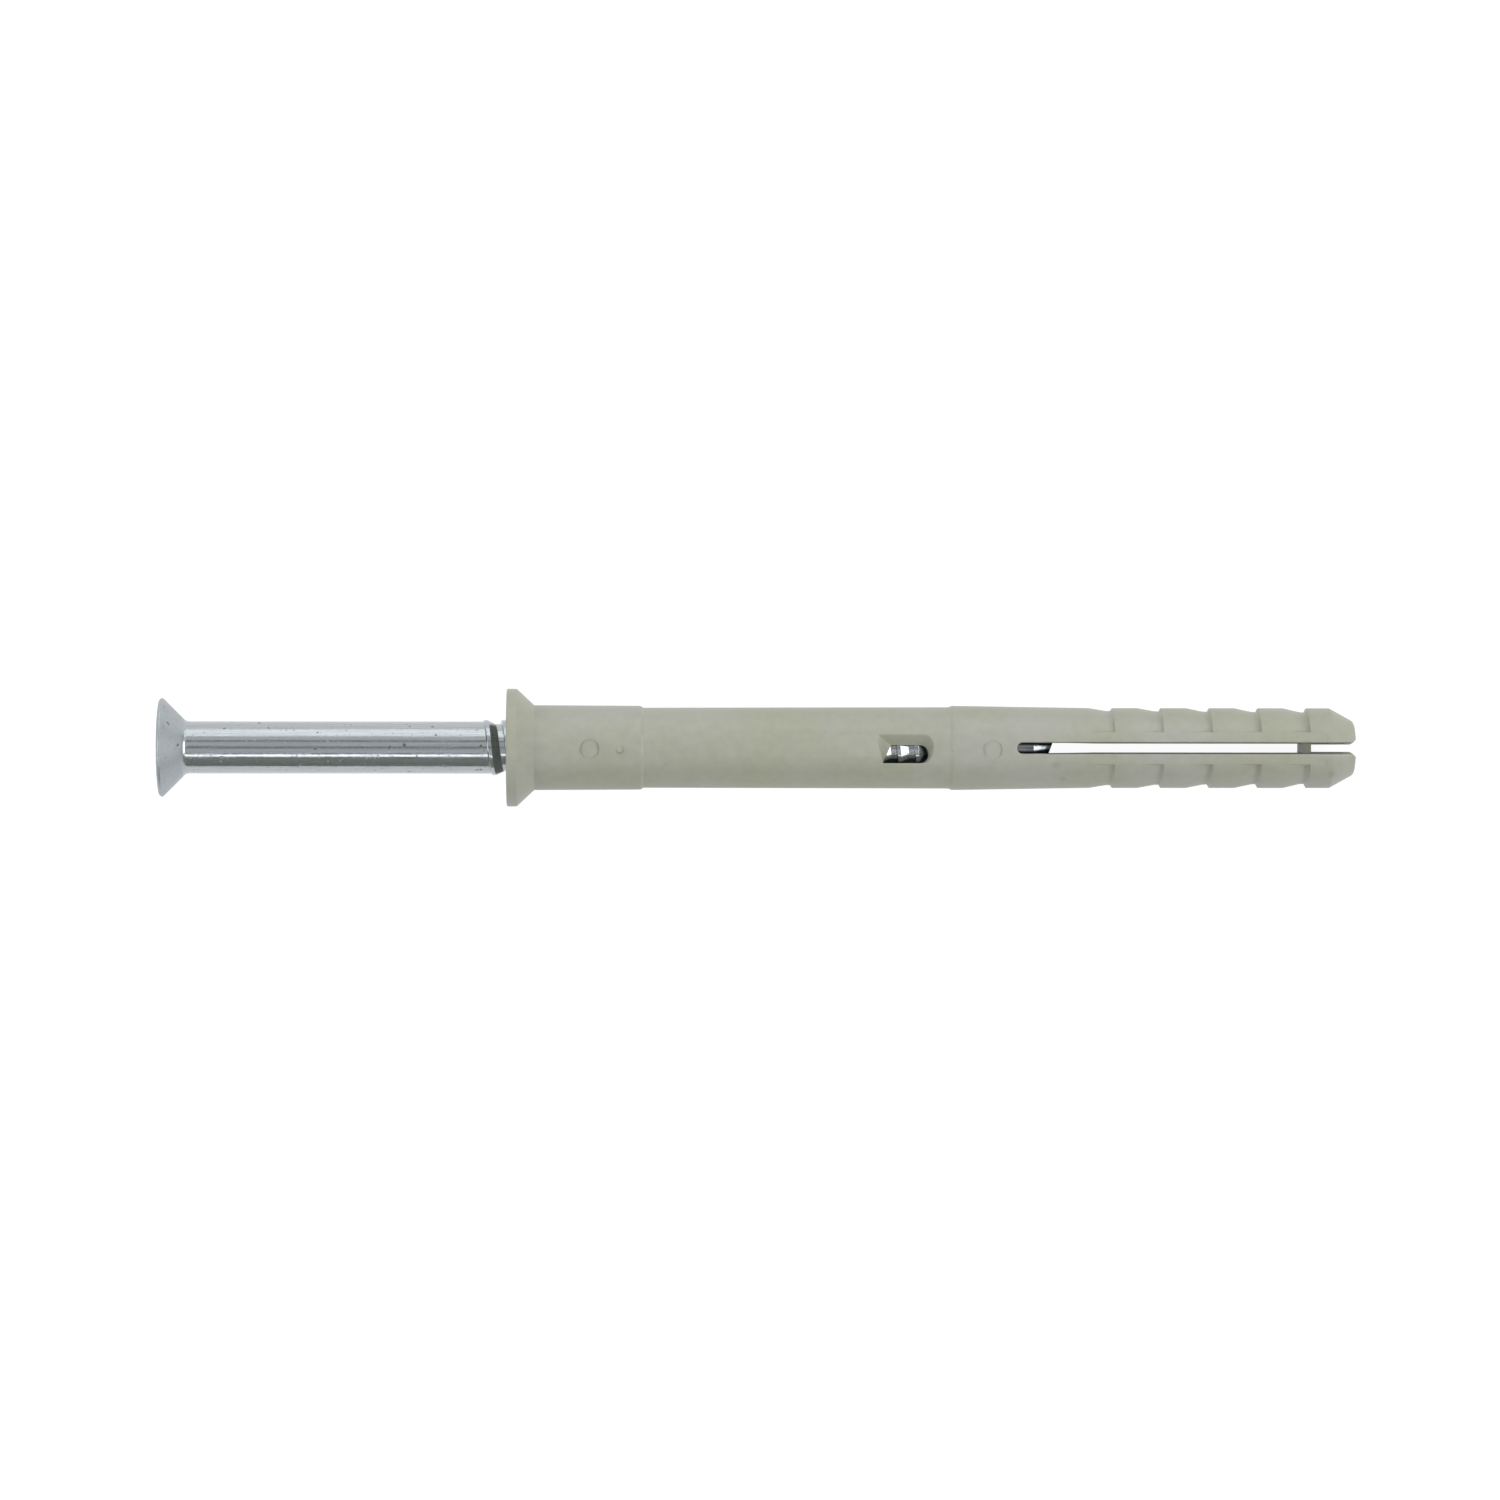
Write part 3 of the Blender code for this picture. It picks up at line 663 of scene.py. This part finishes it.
def widened(outline, by):
    """An outline of (y, z) points moved outwards by a distance, with its corners kept."""
    moved = []
    for before, point, after in zip(outline[-1:] + outline, outline, outline[1:] + outline[:1]):
        arriving = square_to(point - before)
        leaving = square_to(after - point)
        outward = (arriving + leaving).normalized()
        moved.append(point + outward * (by / outward.dot(arriving)))
    return moved


window_skin = math.sqrt(WAIST_END_RADIUS**2 - WINDOW_ABOVE_AXIS**2)
window_wall = window_skin - BORE_RADIUS


def window_outline(out):
    """The D of the window; out is 0 level with the skin and -1 at the bore."""
    above = WINDOW_ABOVE_AXIS + WINDOW_SLOPE_REACH * out
    below = -WINDOW_BELOW_AXIS
    start = -WINDOW_TO_MOUTH + WINDOW_END_SLOPE_REACH * out
    finish = -WINDOW_TO_MOUTH - WINDOW_SLANT
    nose = -WINDOW_TO_MOUTH - WINDOW_LENGTH - WINDOW_NOSE_SLOPE_REACH * out + WINDOW_NOSE
    middle = (above + below) / 2
    half = (above - below) / 2
    shares = [i / END_SEGMENTS for i in range(END_SEGMENTS + 1)]
    angles = [math.pi * i / NOSE_SEGMENTS for i in range(NOSE_SEGMENTS + 1)]
    end = [(above + (below - above) * share, start + (finish - start) * share) for share in shares]
    arc = [(middle - half * math.cos(a), nose - WINDOW_NOSE * math.sin(a)) for a in angles]
    return [Vector(point) for point in end + arc]


def skin_at(radius, point):
    """Height of a round skin above a (y, z) point."""
    return math.sqrt(radius**2 - point.x**2)


def skin_ring(bm, side, depth, widening):
    """The window's outline on the curved skin, at a depth below it and widened."""
    points = window_outline(0.0)
    for _ in range(SKIN_PASSES):
        heights = [skin_at(WAIST_END_RADIUS, point) - depth for point in points]
        outs = [(height - window_skin) / window_wall for height in heights]
        points = [window_outline(out)[i] for i, out in enumerate(outs)]
    wide = widened(points, widening)
    places = [(side * (skin_at(WAIST_END_RADIUS, point) - depth), *point) for point in wide]
    return ring_of_edges(bm, places)


for side in (1, -1):
    window = bmesh.new()
    rings = [
        ring_of_edges(window, [(side * x, *point) for point in window_outline(-1.0)])
        for x in (WINDOW_FLOOR, BORE_RADIUS)
    ]
    rings += [skin_ring(window, side, depth, widening) for depth, widening in (*rim_arc, rim_flare)]
    above_skin = side * (WAIST_END_RADIUS + CUT_MARGIN)
    lid = [(above_skin, *point) for point in widened(window_outline(0.0), WINDOW_LID_SPREAD)]
    rings.append(ring_of_edges(window, lid))
    sleeve = combined(sleeve, lofted(window, rings), "DIFFERENCE")
print(f"Windows {WINDOW_LENGTH:.2f} mm long")

# %% [markdown]
# Slot and web
#
# The slot parts the two legs. It is a little wider at the skin than at the middle, because the
# two halves of the mould must pull out of it, and its rims are rounded like the windows'. Near
# the tip a thin web ties the legs together until the nail breaks it.

# %% Cut the slot, and join the legs with the web
SLOT_LENGTH = 32.1
SLOT_MOUTH_WIDTH = 1.08
SLOT_THROAT_WIDTH = 0.68
SLOT_END_CHAMFER = 0.3
SLOT_PAST_TIP = 0.4
SLOT_END_SEGMENTS = 12
SLOT_LID_SPREAD = 0.8
WEB_DEPTH = 3.6
WEB_ROOT = 0.3

skin_corners = [
    (-SLEEVE_LENGTH, TIP_RADIUS),
    (-leg_end, LEG_RADIUS),
    (-shoulder_end, LEG_RADIUS),
    (-shoulder_start, SHOULDER_RADIUS),
]


def leg_radius_at(height):
    """Radius of the legs' skin at a height, between the corners of its outline."""
    for (low, low_radius), (high, high_radius) in zip(skin_corners, skin_corners[1:]):
        if height <= high:
            break
    return low_radius + (high_radius - low_radius) * max(height - low, 0.0) / (high - low)


def slot_outline(width):
    """The slot's outline at one width: flared at the tip, round at its closed end."""
    half = width / 2
    foot = -SLEEVE_LENGTH - SLOT_PAST_TIP
    flare = half + SLOT_END_CHAMFER + SLOT_PAST_TIP
    end = SLOT_LENGTH - SLEEVE_LENGTH - half
    angles = [math.pi * i / SLOT_END_SEGMENTS for i in range(SLOT_END_SEGMENTS + 1)]
    heights = (SLOT_END_CHAMFER - SLEEVE_LENGTH, -leg_end, -shoulder_end)
    side = [(flare, foot)] + [(half, height) for height in heights]
    round_end = [(half * math.cos(angle), end + half * math.sin(angle)) for angle in angles]
    other_side = [(-y, z) for y, z in reversed(side)]
    return [Vector(point) for point in side + round_end + other_side]


def slot_rings(bm, side):
    """Rings from near the skin outwards, with a rounded rim."""
    rings = []
    for depth, widening in (*rim_arc, rim_flare):
        outline = widened(slot_outline(SLOT_MOUTH_WIDTH), widening)
        heights = [skin_at(leg_radius_at(point.y), point) - depth for point in outline]
        rings.append(ring_of_edges(bm, [(side * x, *point) for x, point in zip(heights, outline)]))
    above_skin = side * (LEG_RADIUS + CUT_MARGIN)
    lid = widened(slot_outline(SLOT_MOUTH_WIDTH), SLOT_LID_SPREAD)
    rings.append(ring_of_edges(bm, [(above_skin, *point) for point in lid]))
    return rings


slot = bmesh.new()
throat = ring_of_edges(slot, [(0.0, *point) for point in slot_outline(SLOT_THROAT_WIDTH)])
rings = [*reversed(slot_rings(slot, -1)), throat, *slot_rings(slot, 1)]
sleeve = combined(sleeve, lofted(slot, rings), "DIFFERENCE")

web = bmesh.new()
web_size = Matrix.Diagonal((WEB_DEPTH, 2 * (PILOT_RADIUS + WEB_ROOT), WEB_THICKNESS, 1.0))
web_place = Matrix.Translation((0, 0, WEB_TO_TIP + WEB_THICKNESS / 2 - SLEEVE_LENGTH))
bmesh.ops.create_cube(web, size=1.0, matrix=web_place @ web_size)
sleeve = combined(sleeve, web, "UNION")
print(f"Slot {SLOT_MOUTH_WIDTH:.2f} mm wide at the skin")

# %% [markdown]
# Moulding marks
#
# Steel pins push the sleeve out of its mould and leave shallow round flats, and the nylon flows
# in through a gate that leaves a small broken stub. Such marks are what tells a moulding from a
# drawing of one. Each pin mark is a short cylinder sunk in the skin, square to it, and the stub
# is a small cone with its top tilted.

# %% Press in the pin marks, and leave the gate stub
# Each mark's depth from the mouth, distance beside the middle, radius and depth in the skin
PIN_MARKS = {
    "neck": (7.8, -0.1, 0.92, 0.15),
    "shoulder": (45.6, -0.15, 0.9, 0.125),
    "upper_leg": (76.7, 0.95, 0.47, 0.05),
    "lower_leg": (76.7, -1.35, 0.47, 0.045),
}
PIN_SEGMENTS = 40
PIN_LENGTH = 1.0
PIN_FLARE = 0.02
GATE_DEPTH = 10.6
GATE_SIDE = -0.15
GATE_RADIUS = 0.34
GATE_HEIGHT = 0.16
GATE_FOOT_SHARE = 1.3
GATE_TOP_SHARE = 0.8
GATE_TILT_ACROSS = 0.2
GATE_TILT_ALONG = 0.25
SLEEVE_SHARP_ANGLE = 30


def square_to_skin(depth, side, radius):
    """Matrix that stands a form on the skin, at a depth from the mouth and beside the middle."""
    lean = Matrix.Rotation(math.asin(side / radius), 4, "Z")
    outward = lean @ Matrix.Rotation(math.pi / 2, 4, "Y")
    return Matrix.Translation((0, 0, -depth)) @ outward @ Matrix.Translation((0, 0, radius))


def skin_radius(depth):
    """Radius of the sleeve at a depth, on the neck or on the legs."""
    if depth > shoulder_start:
        return leg_radius_at(-depth)
    return NECK_RADIUS + (NECK_END_RADIUS - NECK_RADIUS) * (depth - neck_start) / NECK_LENGTH


for spot_name, (depth, side, pin_radius, sunk) in PIN_MARKS.items():
    pin = bmesh.new()
    place = square_to_skin(depth, side, skin_radius(depth))
    bmesh.ops.create_cone(
        pin,
        cap_ends=True,
        segments=PIN_SEGMENTS,
        radius1=pin_radius,
        radius2=pin_radius + PIN_FLARE,
        depth=PIN_LENGTH,
        matrix=place @ Matrix.Translation((0, 0, PIN_LENGTH / 2 - sunk)),
    )
    sleeve = combined(sleeve, pin, "DIFFERENCE")
    print(f"Pin mark, {spot_name}: {2 * pin_radius:.2f} mm wide, {sunk:.3f} mm deep")

gate = bmesh.new()
bmesh.ops.create_cone(
    gate,
    cap_ends=True,
    segments=PIN_SEGMENTS,
    radius1=GATE_RADIUS * GATE_FOOT_SHARE,
    radius2=GATE_RADIUS * GATE_TOP_SHARE,
    depth=2 * GATE_HEIGHT,
    matrix=square_to_skin(GATE_DEPTH, GATE_SIDE, skin_radius(GATE_DEPTH)),
)
for vert in gate.verts:
    if vert.co.x > skin_radius(GATE_DEPTH):
        fall_across = GATE_TILT_ACROSS * (vert.co.y - GATE_SIDE)
        vert.co.x -= fall_across + GATE_TILT_ALONG * (vert.co.z + GATE_DEPTH)
sleeve = combined(sleeve, gate, "UNION")
expansion_sleeve = finished(
    sleeve,
    "nylon_sleeve",
    "expansion_sleeve",
    SLEEVE_SHARP_ANGLE,
)

# %% [markdown]
# Colours, nodes and places
#
# Colours are given as they look on a screen, in sRGB hex. Cycles works with linear light, so one
# function turns them. Another adds a node with its settings and its links, and short ones add the
# kinds that recur, which lets each material read like a recipe. The last one turns Object
# coordinates into the anchor's own frame in millimetres, so a pattern can be as coarse as the
# real one and can run along the axis, and a mark can sit where a size says.

# %% Helpers for materials


def linear(code):
    """Linear colour of an sRGB hex value."""
    channels = [int(code[i : i + 2], 16) / 255 for i in (1, 3, 5)]
    return [c / 12.92 if c <= 0.04045 else ((c + 0.055) / 1.055) ** 2.4 for c in channels] + [1.0]


def material(name):
    """An empty material."""
    made = bpy.data.materials.new(name)
    made.use_nodes = True
    made.node_tree.nodes.clear()
    return made


def add_node(made, kind, settings=(), **inputs):
    """A node with its settings; inputs go by name, or by number as _0, and are values or links."""
    node = made.node_tree.nodes.new(kind)
    for name, value in dict(settings).items():
        setattr(node, name, value)
    for name, value in inputs.items():
        socket = node.inputs[int(name[1:]) if name[0] == "_" else name.replace("_", " ")]
        if isinstance(value, bpy.types.NodeSocket):
            made.node_tree.links.new(value, socket)
        else:
            socket.default_value = value
    return node


def noise(made, place, scale, detail):
    """Soft noise; a scale of 1 gives features about a millimetre wide."""
    return add_node(made, "ShaderNodeTexNoise", Vector=place, Scale=scale, Detail=detail)


def ranged(made, value, span, levels=(0.0, 1.0), kind="LINEAR"):
    """A value's span, turned into a span of levels."""
    node = add_node(
        made,
        "ShaderNodeMapRange",
        {"interpolation_type": kind},
        _0=value,
        _1=span[0],
        _2=span[1],
        _3=levels[0],
        _4=levels[1],
    )
    return node.outputs[0]


def worked_out(made, operation, first, second):
    """What an operation makes of two values."""
    settings = {"operation": operation}
    return add_node(made, "ShaderNodeMath", settings, _0=first, _1=second).outputs[0]


def shaded(made, colour, amount):
    """A colour times an amount."""
    settings = {"operation": "SCALE"}
    return add_node(made, "ShaderNodeVectorMath", settings, _0=colour, Scale=amount).outputs[0]


def blended(made, share, first, second):
    """A colour between two others."""
    settings = {"data_type": "RGBA"}
    return add_node(made, "ShaderNodeMix", settings, _0=share, _6=first, _7=second).outputs[2]


def surfaced(obj, made, surface):
    """Ends a material in its surface, and gives it to an object."""
    add_node(made, "ShaderNodeOutputMaterial", Surface=surface.outputs[0])
    obj.data.materials.append(made)


def anchor_place(made):
    """Coordinates in the anchor's own frame, in millimetres."""
    shift, turn, size = LAY_DOWN.inverted().decompose()
    place = add_node(made, "ShaderNodeTexCoord").outputs["Object"]
    mapped = add_node(
        made,
        "ShaderNodeMapping",
        Vector=place,
        Location=shift,
        Rotation=turn.to_euler(),
        Scale=size,
    )
    return mapped.outputs[0]


print("Middle grey in linear light:", round(linear("#808080")[0], 3))

# %% [markdown]
# Grey nylon, injection moulded
#
# Polyamide leaves a spark-eroded mould with a satin skin: the highlights are wide and soft. The
# grey is not quite even. Where the melt flowed and cooled differently it turns a little greener
# or bluer over several millimetres, finer clouds lie over that, and handling leaves a few faint
# smudges. The real grain is about 0.03 mm, too fine to show, so it is drawn at 0.15 mm.

# %% Nylon
NYLON_COLOURS = ("#989A89", "#9D9E95")
NYLON_CLOUD_MM = 9.0
NYLON_MOTTLE_MM = 0.9
NYLON_GRAIN_MM = 0.15
CLOUD_DETAIL = 2.0
MOTTLE_DETAIL = 5.0
GRAIN_DETAIL = 3.0
CLOUD_SPAN = (0.35, 0.65)
MOTTLE_SPAN = (0.3, 0.7)
MOTTLE_SHADES = (0.95, 1.04)
NYLON_ROUGHNESS = (0.4, 0.5)
NYLON_IOR = 1.53
GRAIN_STRENGTH = 0.12
GRAIN_HEIGHT_M = 0.00003
SMUDGE_SHADES = (0.86, 1.0)
SMUDGE_CORE_SHARE = 0.4
SMUDGE_EDGE_SHARE = 1.3
# Each smudge's depth from the mouth, distance beside the middle and radius
SMUDGES = {
    "shoulder_middle": (51.6, -1.6, 0.45),
    "shoulder_low": (52.3, -2.9, 0.35),
    "tip_low": (77.7, -2.5, 0.5),
    "below_waist_step": (41.8, -0.25, 0.16),
    "above_slot": (53.7, 0.45, 0.16),
}

nylon = material("grey_nylon_injection_moulded")
place = anchor_place(nylon)
clouds = noise(nylon, place, 1 / NYLON_CLOUD_MM, CLOUD_DETAIL).outputs[0]
mottle = noise(nylon, place, 1 / NYLON_MOTTLE_MM, MOTTLE_DETAIL).outputs[0]
grain = noise(nylon, place, 1 / NYLON_GRAIN_MM, GRAIN_DETAIL).outputs[0]
greys = [linear(colour) for colour in NYLON_COLOURS]
hue = blended(nylon, ranged(nylon, clouds, CLOUD_SPAN), *greys)
skin = shaded(nylon, hue, ranged(nylon, mottle, MOTTLE_SPAN, MOTTLE_SHADES))
for depth, side, size in SMUDGES.values():
    radius = skin_radius(depth) if depth > shoulder_start else WAIST_END_RADIUS
    spot = (math.sqrt(radius**2 - side**2), side, -depth)
    away = add_node(nylon, "ShaderNodeVectorMath", {"operation": "DISTANCE"}, _0=place, _1=spot)
    smudge_span = (size * SMUDGE_CORE_SHARE, size * SMUDGE_EDGE_SHARE)
    smudge = ranged(nylon, away.outputs["Value"], smudge_span, SMUDGE_SHADES, "SMOOTHSTEP")
    skin = shaded(nylon, skin, smudge)
relief = add_node(
    nylon,
    "ShaderNodeBump",
    Strength=GRAIN_STRENGTH,
    Distance=GRAIN_HEIGHT_M,
    Height=grain,
)
shader = add_node(
    nylon,
    "ShaderNodeBsdfPrincipled",
    Base_Color=skin,
    Roughness=ranged(nylon, mottle, MOTTLE_SPAN, NYLON_ROUGHNESS),
    IOR=NYLON_IOR,
    Normal=relief.outputs[0],
)
surfaced(expansion_sleeve, nylon, shader)
print("Smudges on the nylon:", ", ".join(SMUDGES))

# %% [markdown]
# Bright zinc on drawn and rolled steel
#
# Electroplated zinc is a thin, bright, slightly blue mirror, and it shows whatever the wire went
# through before. Drawing leaves fine lines along the shank, and handling in bulk leaves pits and
# flecks. The cone under the head was squeezed in a die and is satin. So the shank keeps a low
# roughness with streaks along the axis, and the head gets a higher one. The point is painted
# darker towards its end, as painted shade where it sits deep in the sleeve and shows through the
# slot. The drawing lines are drawn at 0.12 mm, coarser than the real ones, to show at all.

# %% Zinc
ZINC_COLOURS = ("#A2A8AB", "#B0B6BA")
MARK_COLOUR = "#6E7273"
LINE_WIDTH_MM = 0.12
LINE_LENGTH_MM = 6.0
LINE_DETAIL = 3.0
LINE_SPAN = (0.3, 0.7)
PIT_SPACING_MM = 1.5
PIT_RADIUS_MM = 0.22
PIT_CORE_SHARE = 0.3
PIT_RAGGED_MM = 0.5
SPECKLE_MM = 0.22
SPECKLE_DETAIL = 4.0
FLECK_SPAN = (0.67, 0.72)
FLECK_LEVELS = (1.0, 0.0)
PATCH_SCALE = 0.45
PATCH_DETAIL = 3.0
# Roughness: worn patches, specks on them, and the satin that is added from the cone up
PATCH_SPAN = (0.4, 0.7)
PATCH_ROUGHNESS = (0.11, 0.2)
SPECK_SPAN = (0.52, 0.66)
SPECK_ROUGHNESS = (0.0, 0.1)
SATIN_FROM = cone_end - 0.2
SATIN_TO = cone_end + 0.5
SATIN_ROUGHNESS = (0.0, 0.3)
# The point's painted shade, from its end up to where it fades out
PAINTED_SHADE_TO = nail_tip + 6.0
PAINTED_SHADE_LEVELS = (0.3, 1.0)
# Each relief's strength, and its height in metres
LINE_RELIEF = (0.25, 0.00001)
SPECKLE_RELIEF = (0.4, 0.00001)
PIT_RELIEF = (0.6, 0.00003)

zinc = material("bright_zinc_plated_rolled_steel")
place = anchor_place(zinc)
stretched = add_node(
    zinc,
    "ShaderNodeVectorMath",
    {"operation": "MULTIPLY"},
    _0=place,
    _1=(1 / LINE_WIDTH_MM, 1 / LINE_WIDTH_MM, 1 / LINE_LENGTH_MM),
)
lines = noise(zinc, stretched.outputs[0], 1.0, LINE_DETAIL).outputs[0]
speckle = noise(zinc, place, 1 / SPECKLE_MM, SPECKLE_DETAIL)
patches = noise(zinc, place, PATCH_SCALE, PATCH_DETAIL).outputs[0]
ragged = add_node(
    zinc,
    "ShaderNodeVectorMath",
    {"operation": "MULTIPLY_ADD"},
    _0=speckle.outputs["Color"],
    _1=(PIT_RAGGED_MM, PIT_RAGGED_MM, PIT_RAGGED_MM),
    _2=place,
)
pits = add_node(
    zinc,
    "ShaderNodeTexVoronoi",
    Vector=ragged.outputs[0],
    Scale=1 / PIT_SPACING_MM,
    Randomness=1.0,
)
pit_span = (PIT_CORE_SHARE * PIT_RADIUS_MM / PIT_SPACING_MM, PIT_RADIUS_MM / PIT_SPACING_MM)
pit = ranged(zinc, pits.outputs["Distance"], pit_span, kind="SMOOTHSTEP")
fleck = ranged(zinc, speckle.outputs[0], FLECK_SPAN, FLECK_LEVELS)
clean = worked_out(zinc, "MULTIPLY", pit, fleck)
height = add_node(zinc, "ShaderNodeSeparateXYZ", _0=place).outputs["Z"]
satin = ranged(zinc, height, (SATIN_FROM, SATIN_TO), SATIN_ROUGHNESS, "SMOOTHSTEP")
worn = ranged(zinc, patches, PATCH_SPAN, PATCH_ROUGHNESS)
specks = ranged(zinc, speckle.outputs[0], SPECK_SPAN, SPECK_ROUGHNESS)
uneven = worked_out(zinc, "ADD", worn, specks)
rough = worked_out(zinc, "ADD", uneven, satin)
zinc_tones = [linear(colour) for colour in ZINC_COLOURS]
tint = blended(zinc, ranged(zinc, lines, LINE_SPAN), *zinc_tones)
marked = blended(zinc, clean, linear(MARK_COLOUR), tint)
# The point's base colour is darkened towards its end: painted shade where it lies in the slot
metal = shaded(zinc, marked, ranged(zinc, height, (nail_tip, PAINTED_SHADE_TO), PAINTED_SHADE_LEVELS, "SMOOTHSTEP"))
relief = {}
for source, (strength, depth) in (
    (lines, LINE_RELIEF),
    (speckle.outputs[0], SPECKLE_RELIEF),
    (clean, PIT_RELIEF),
):
    bump = add_node(zinc, "ShaderNodeBump", Strength=strength, Distance=depth, Height=source, **relief)
    relief = {"Normal": bump.outputs[0]}
shader = add_node(
    zinc,
    "ShaderNodeBsdfPrincipled",
    Base_Color=metal,
    Metallic=1.0,
    Roughness=rough,
    **relief,
)
surfaced(drive_nail, zinc, shader)
print(f"Zinc: satin from {SATIN_FROM:.2f} mm up, darker below {PAINTED_SHADE_TO:.2f} mm")

# %% [markdown]
# A white floor that keeps the shadow
#
# The photograph's ground is pure white. Lighting a sheet of paper until it clips would burn the
# anchor too, so the floor glows by itself, but only for the camera and for what mirrors it or
# lets it through. A little diffuse paper is mixed in, which keeps the anchor's soft shadow. All
# other light meets plain matt paper and bounces off it.

# %% Floor
FLOOR_SIZE = 2.4
FLOOR_GLOW = 0.93
PAPER_COLOUR = "#E2E2E0"
SHADOW_COLOUR = "#6E6E6E"
WHITE = "#FFFFFF"


def sheet(name, width, depth):
    """A flat stage sheet that faces up."""
    bm = bmesh.new()
    bmesh.ops.create_grid(bm, size=0.5, matrix=Matrix.Diagonal((width, depth, 1.0, 1.0)))
    mesh = bpy.data.meshes.new(name)
    bm.to_mesh(mesh)
    bm.free()
    obj = bpy.data.objects.new(name, mesh)
    bpy.context.scene.collection.objects.link(obj)
    return obj


white = material("white_paper")
path = add_node(white, "ShaderNodeLightPath").outputs
mirrored = worked_out(white, "MAXIMUM", path["Is Glossy Ray"], path["Is Transmission Ray"])
seen = worked_out(white, "MAXIMUM", path["Is Camera Ray"], mirrored)
paper = add_node(white, "ShaderNodeBsdfDiffuse", Color=linear(PAPER_COLOUR))
glow = add_node(white, "ShaderNodeEmission", Color=linear(WHITE), Strength=FLOOR_GLOW)
shadow_catcher = add_node(white, "ShaderNodeBsdfDiffuse", Color=linear(SHADOW_COLOUR))
lit = add_node(white, "ShaderNodeAddShader", _0=glow.outputs[0], _1=shadow_catcher.outputs[0])
mixed = add_node(
    white,
    "ShaderNodeMixShader",
    _0=seen,
    _1=paper.outputs[0],
    _2=lit.outputs[0],
)
floor = sheet("floor", FLOOR_SIZE, FLOOR_SIZE)
surfaced(floor, white, mixed)
print(f"Floor {FLOOR_SIZE:.1f} m wide")

# %% [markdown]
# Studio light
#
# A bright cylinder is a picture of its surroundings, so the nail tells how the studio was set
# up. Across its shank run bands: the white floor, a large soft box with a dimmer one above it,
# two dim panels overhead with a gap between them for the lens, a thin bright strip, a grey card,
# and the floor again. Each band's place gives its lamp's direction, because a mirror turned by an
# angle turns the view by twice that angle. Two more boxes stand beyond the tip and beyond the
# head. The world is dim, and white only to the camera. A lamp's brightness is given as it looks
# in a mirror, where 1 is white, and its power follows from its size.

# %% World, lamps and card
WORLD_STRENGTH = 0.36
CARD_COLOUR = "#9DA099"
CARD_SIZE = (0.3, 0.3)
CARD_PLACE = (-0.045, -0.33, 0.125)
CARD_LEAN = math.radians(68)
# A lamp's power is its brightness times this many times its area
AREA_LAMP_FACTOR = 4.0
# Each lamp's azimuth and elevation in degrees, its distance and size in metres, its brightness
LAMPS = {
    "large_soft_box": (90, 20, 0.6, (1.2, 0.4), 1.02),
    "upper_soft_box": (90, 48, 0.6, (1.2, 0.21), 0.35),
    "overhead_beyond_lens": (90, 75, 0.9, (1.2, 0.31), 0.3),
    "overhead_before_lens": (-90, 75, 0.9, (1.2, 0.31), 0.3),
    "strip_light": (-90, 55, 0.6, (1.0, 0.09), 1.9),
    "tip_end_box": (0, 38, 0.6, (0.45, 0.24), 3.7),
    "head_end_box": (180, 38, 0.6, (0.4, 0.2), 3.0),
}

world = bpy.data.worlds.new("studio")
bpy.context.scene.world = world
world.use_nodes = True
sky = world.node_tree.nodes["Background"]
sky.inputs["Color"].default_value = linear(WHITE)
by_camera = add_node(world, "ShaderNodeLightPath").outputs["Is Camera Ray"]
level = ranged(world, by_camera, (0.0, 1.0), (WORLD_STRENGTH, 1.0))
world.node_tree.links.new(level, sky.inputs["Strength"])


def soft_box(name, azimuth, elevation, distance, size, brightness):
    """An area lamp that faces the anchor from a direction."""
    lamp = bpy.data.lights.new(name, "AREA")
    lamp.shape = "RECTANGLE"
    lamp.size, lamp.size_y = size
    lamp.energy = AREA_LAMP_FACTOR * size[0] * size[1] * brightness
    obj = bpy.data.objects.new(name, lamp)
    bpy.context.scene.collection.objects.link(obj)
    around = math.radians(azimuth)
    up = math.radians(elevation)
    way = Vector((math.cos(up) * math.cos(around), math.cos(up) * math.sin(around), math.sin(up)))
    facing = way.to_track_quat("Z", "Y").to_matrix().to_4x4()
    obj.matrix_world = Matrix.Translation(way * distance) @ facing
    print(f"{name}: {lamp.energy:.2f} W")


for name, settings in LAMPS.items():
    soft_box(name, *settings)

card_grey = material("grey_card")
matt = add_node(card_grey, "ShaderNodeBsdfDiffuse", Color=linear(CARD_COLOUR))
card = sheet("dark_card", *CARD_SIZE)
surfaced(card, card_grey, matt)
card.data.transform(Matrix.Translation(CARD_PLACE) @ Matrix.Rotation(CARD_LEAN, 4, "X"))
card.visible_camera = False
bpy.context.scene.view_settings.view_transform = "Standard"
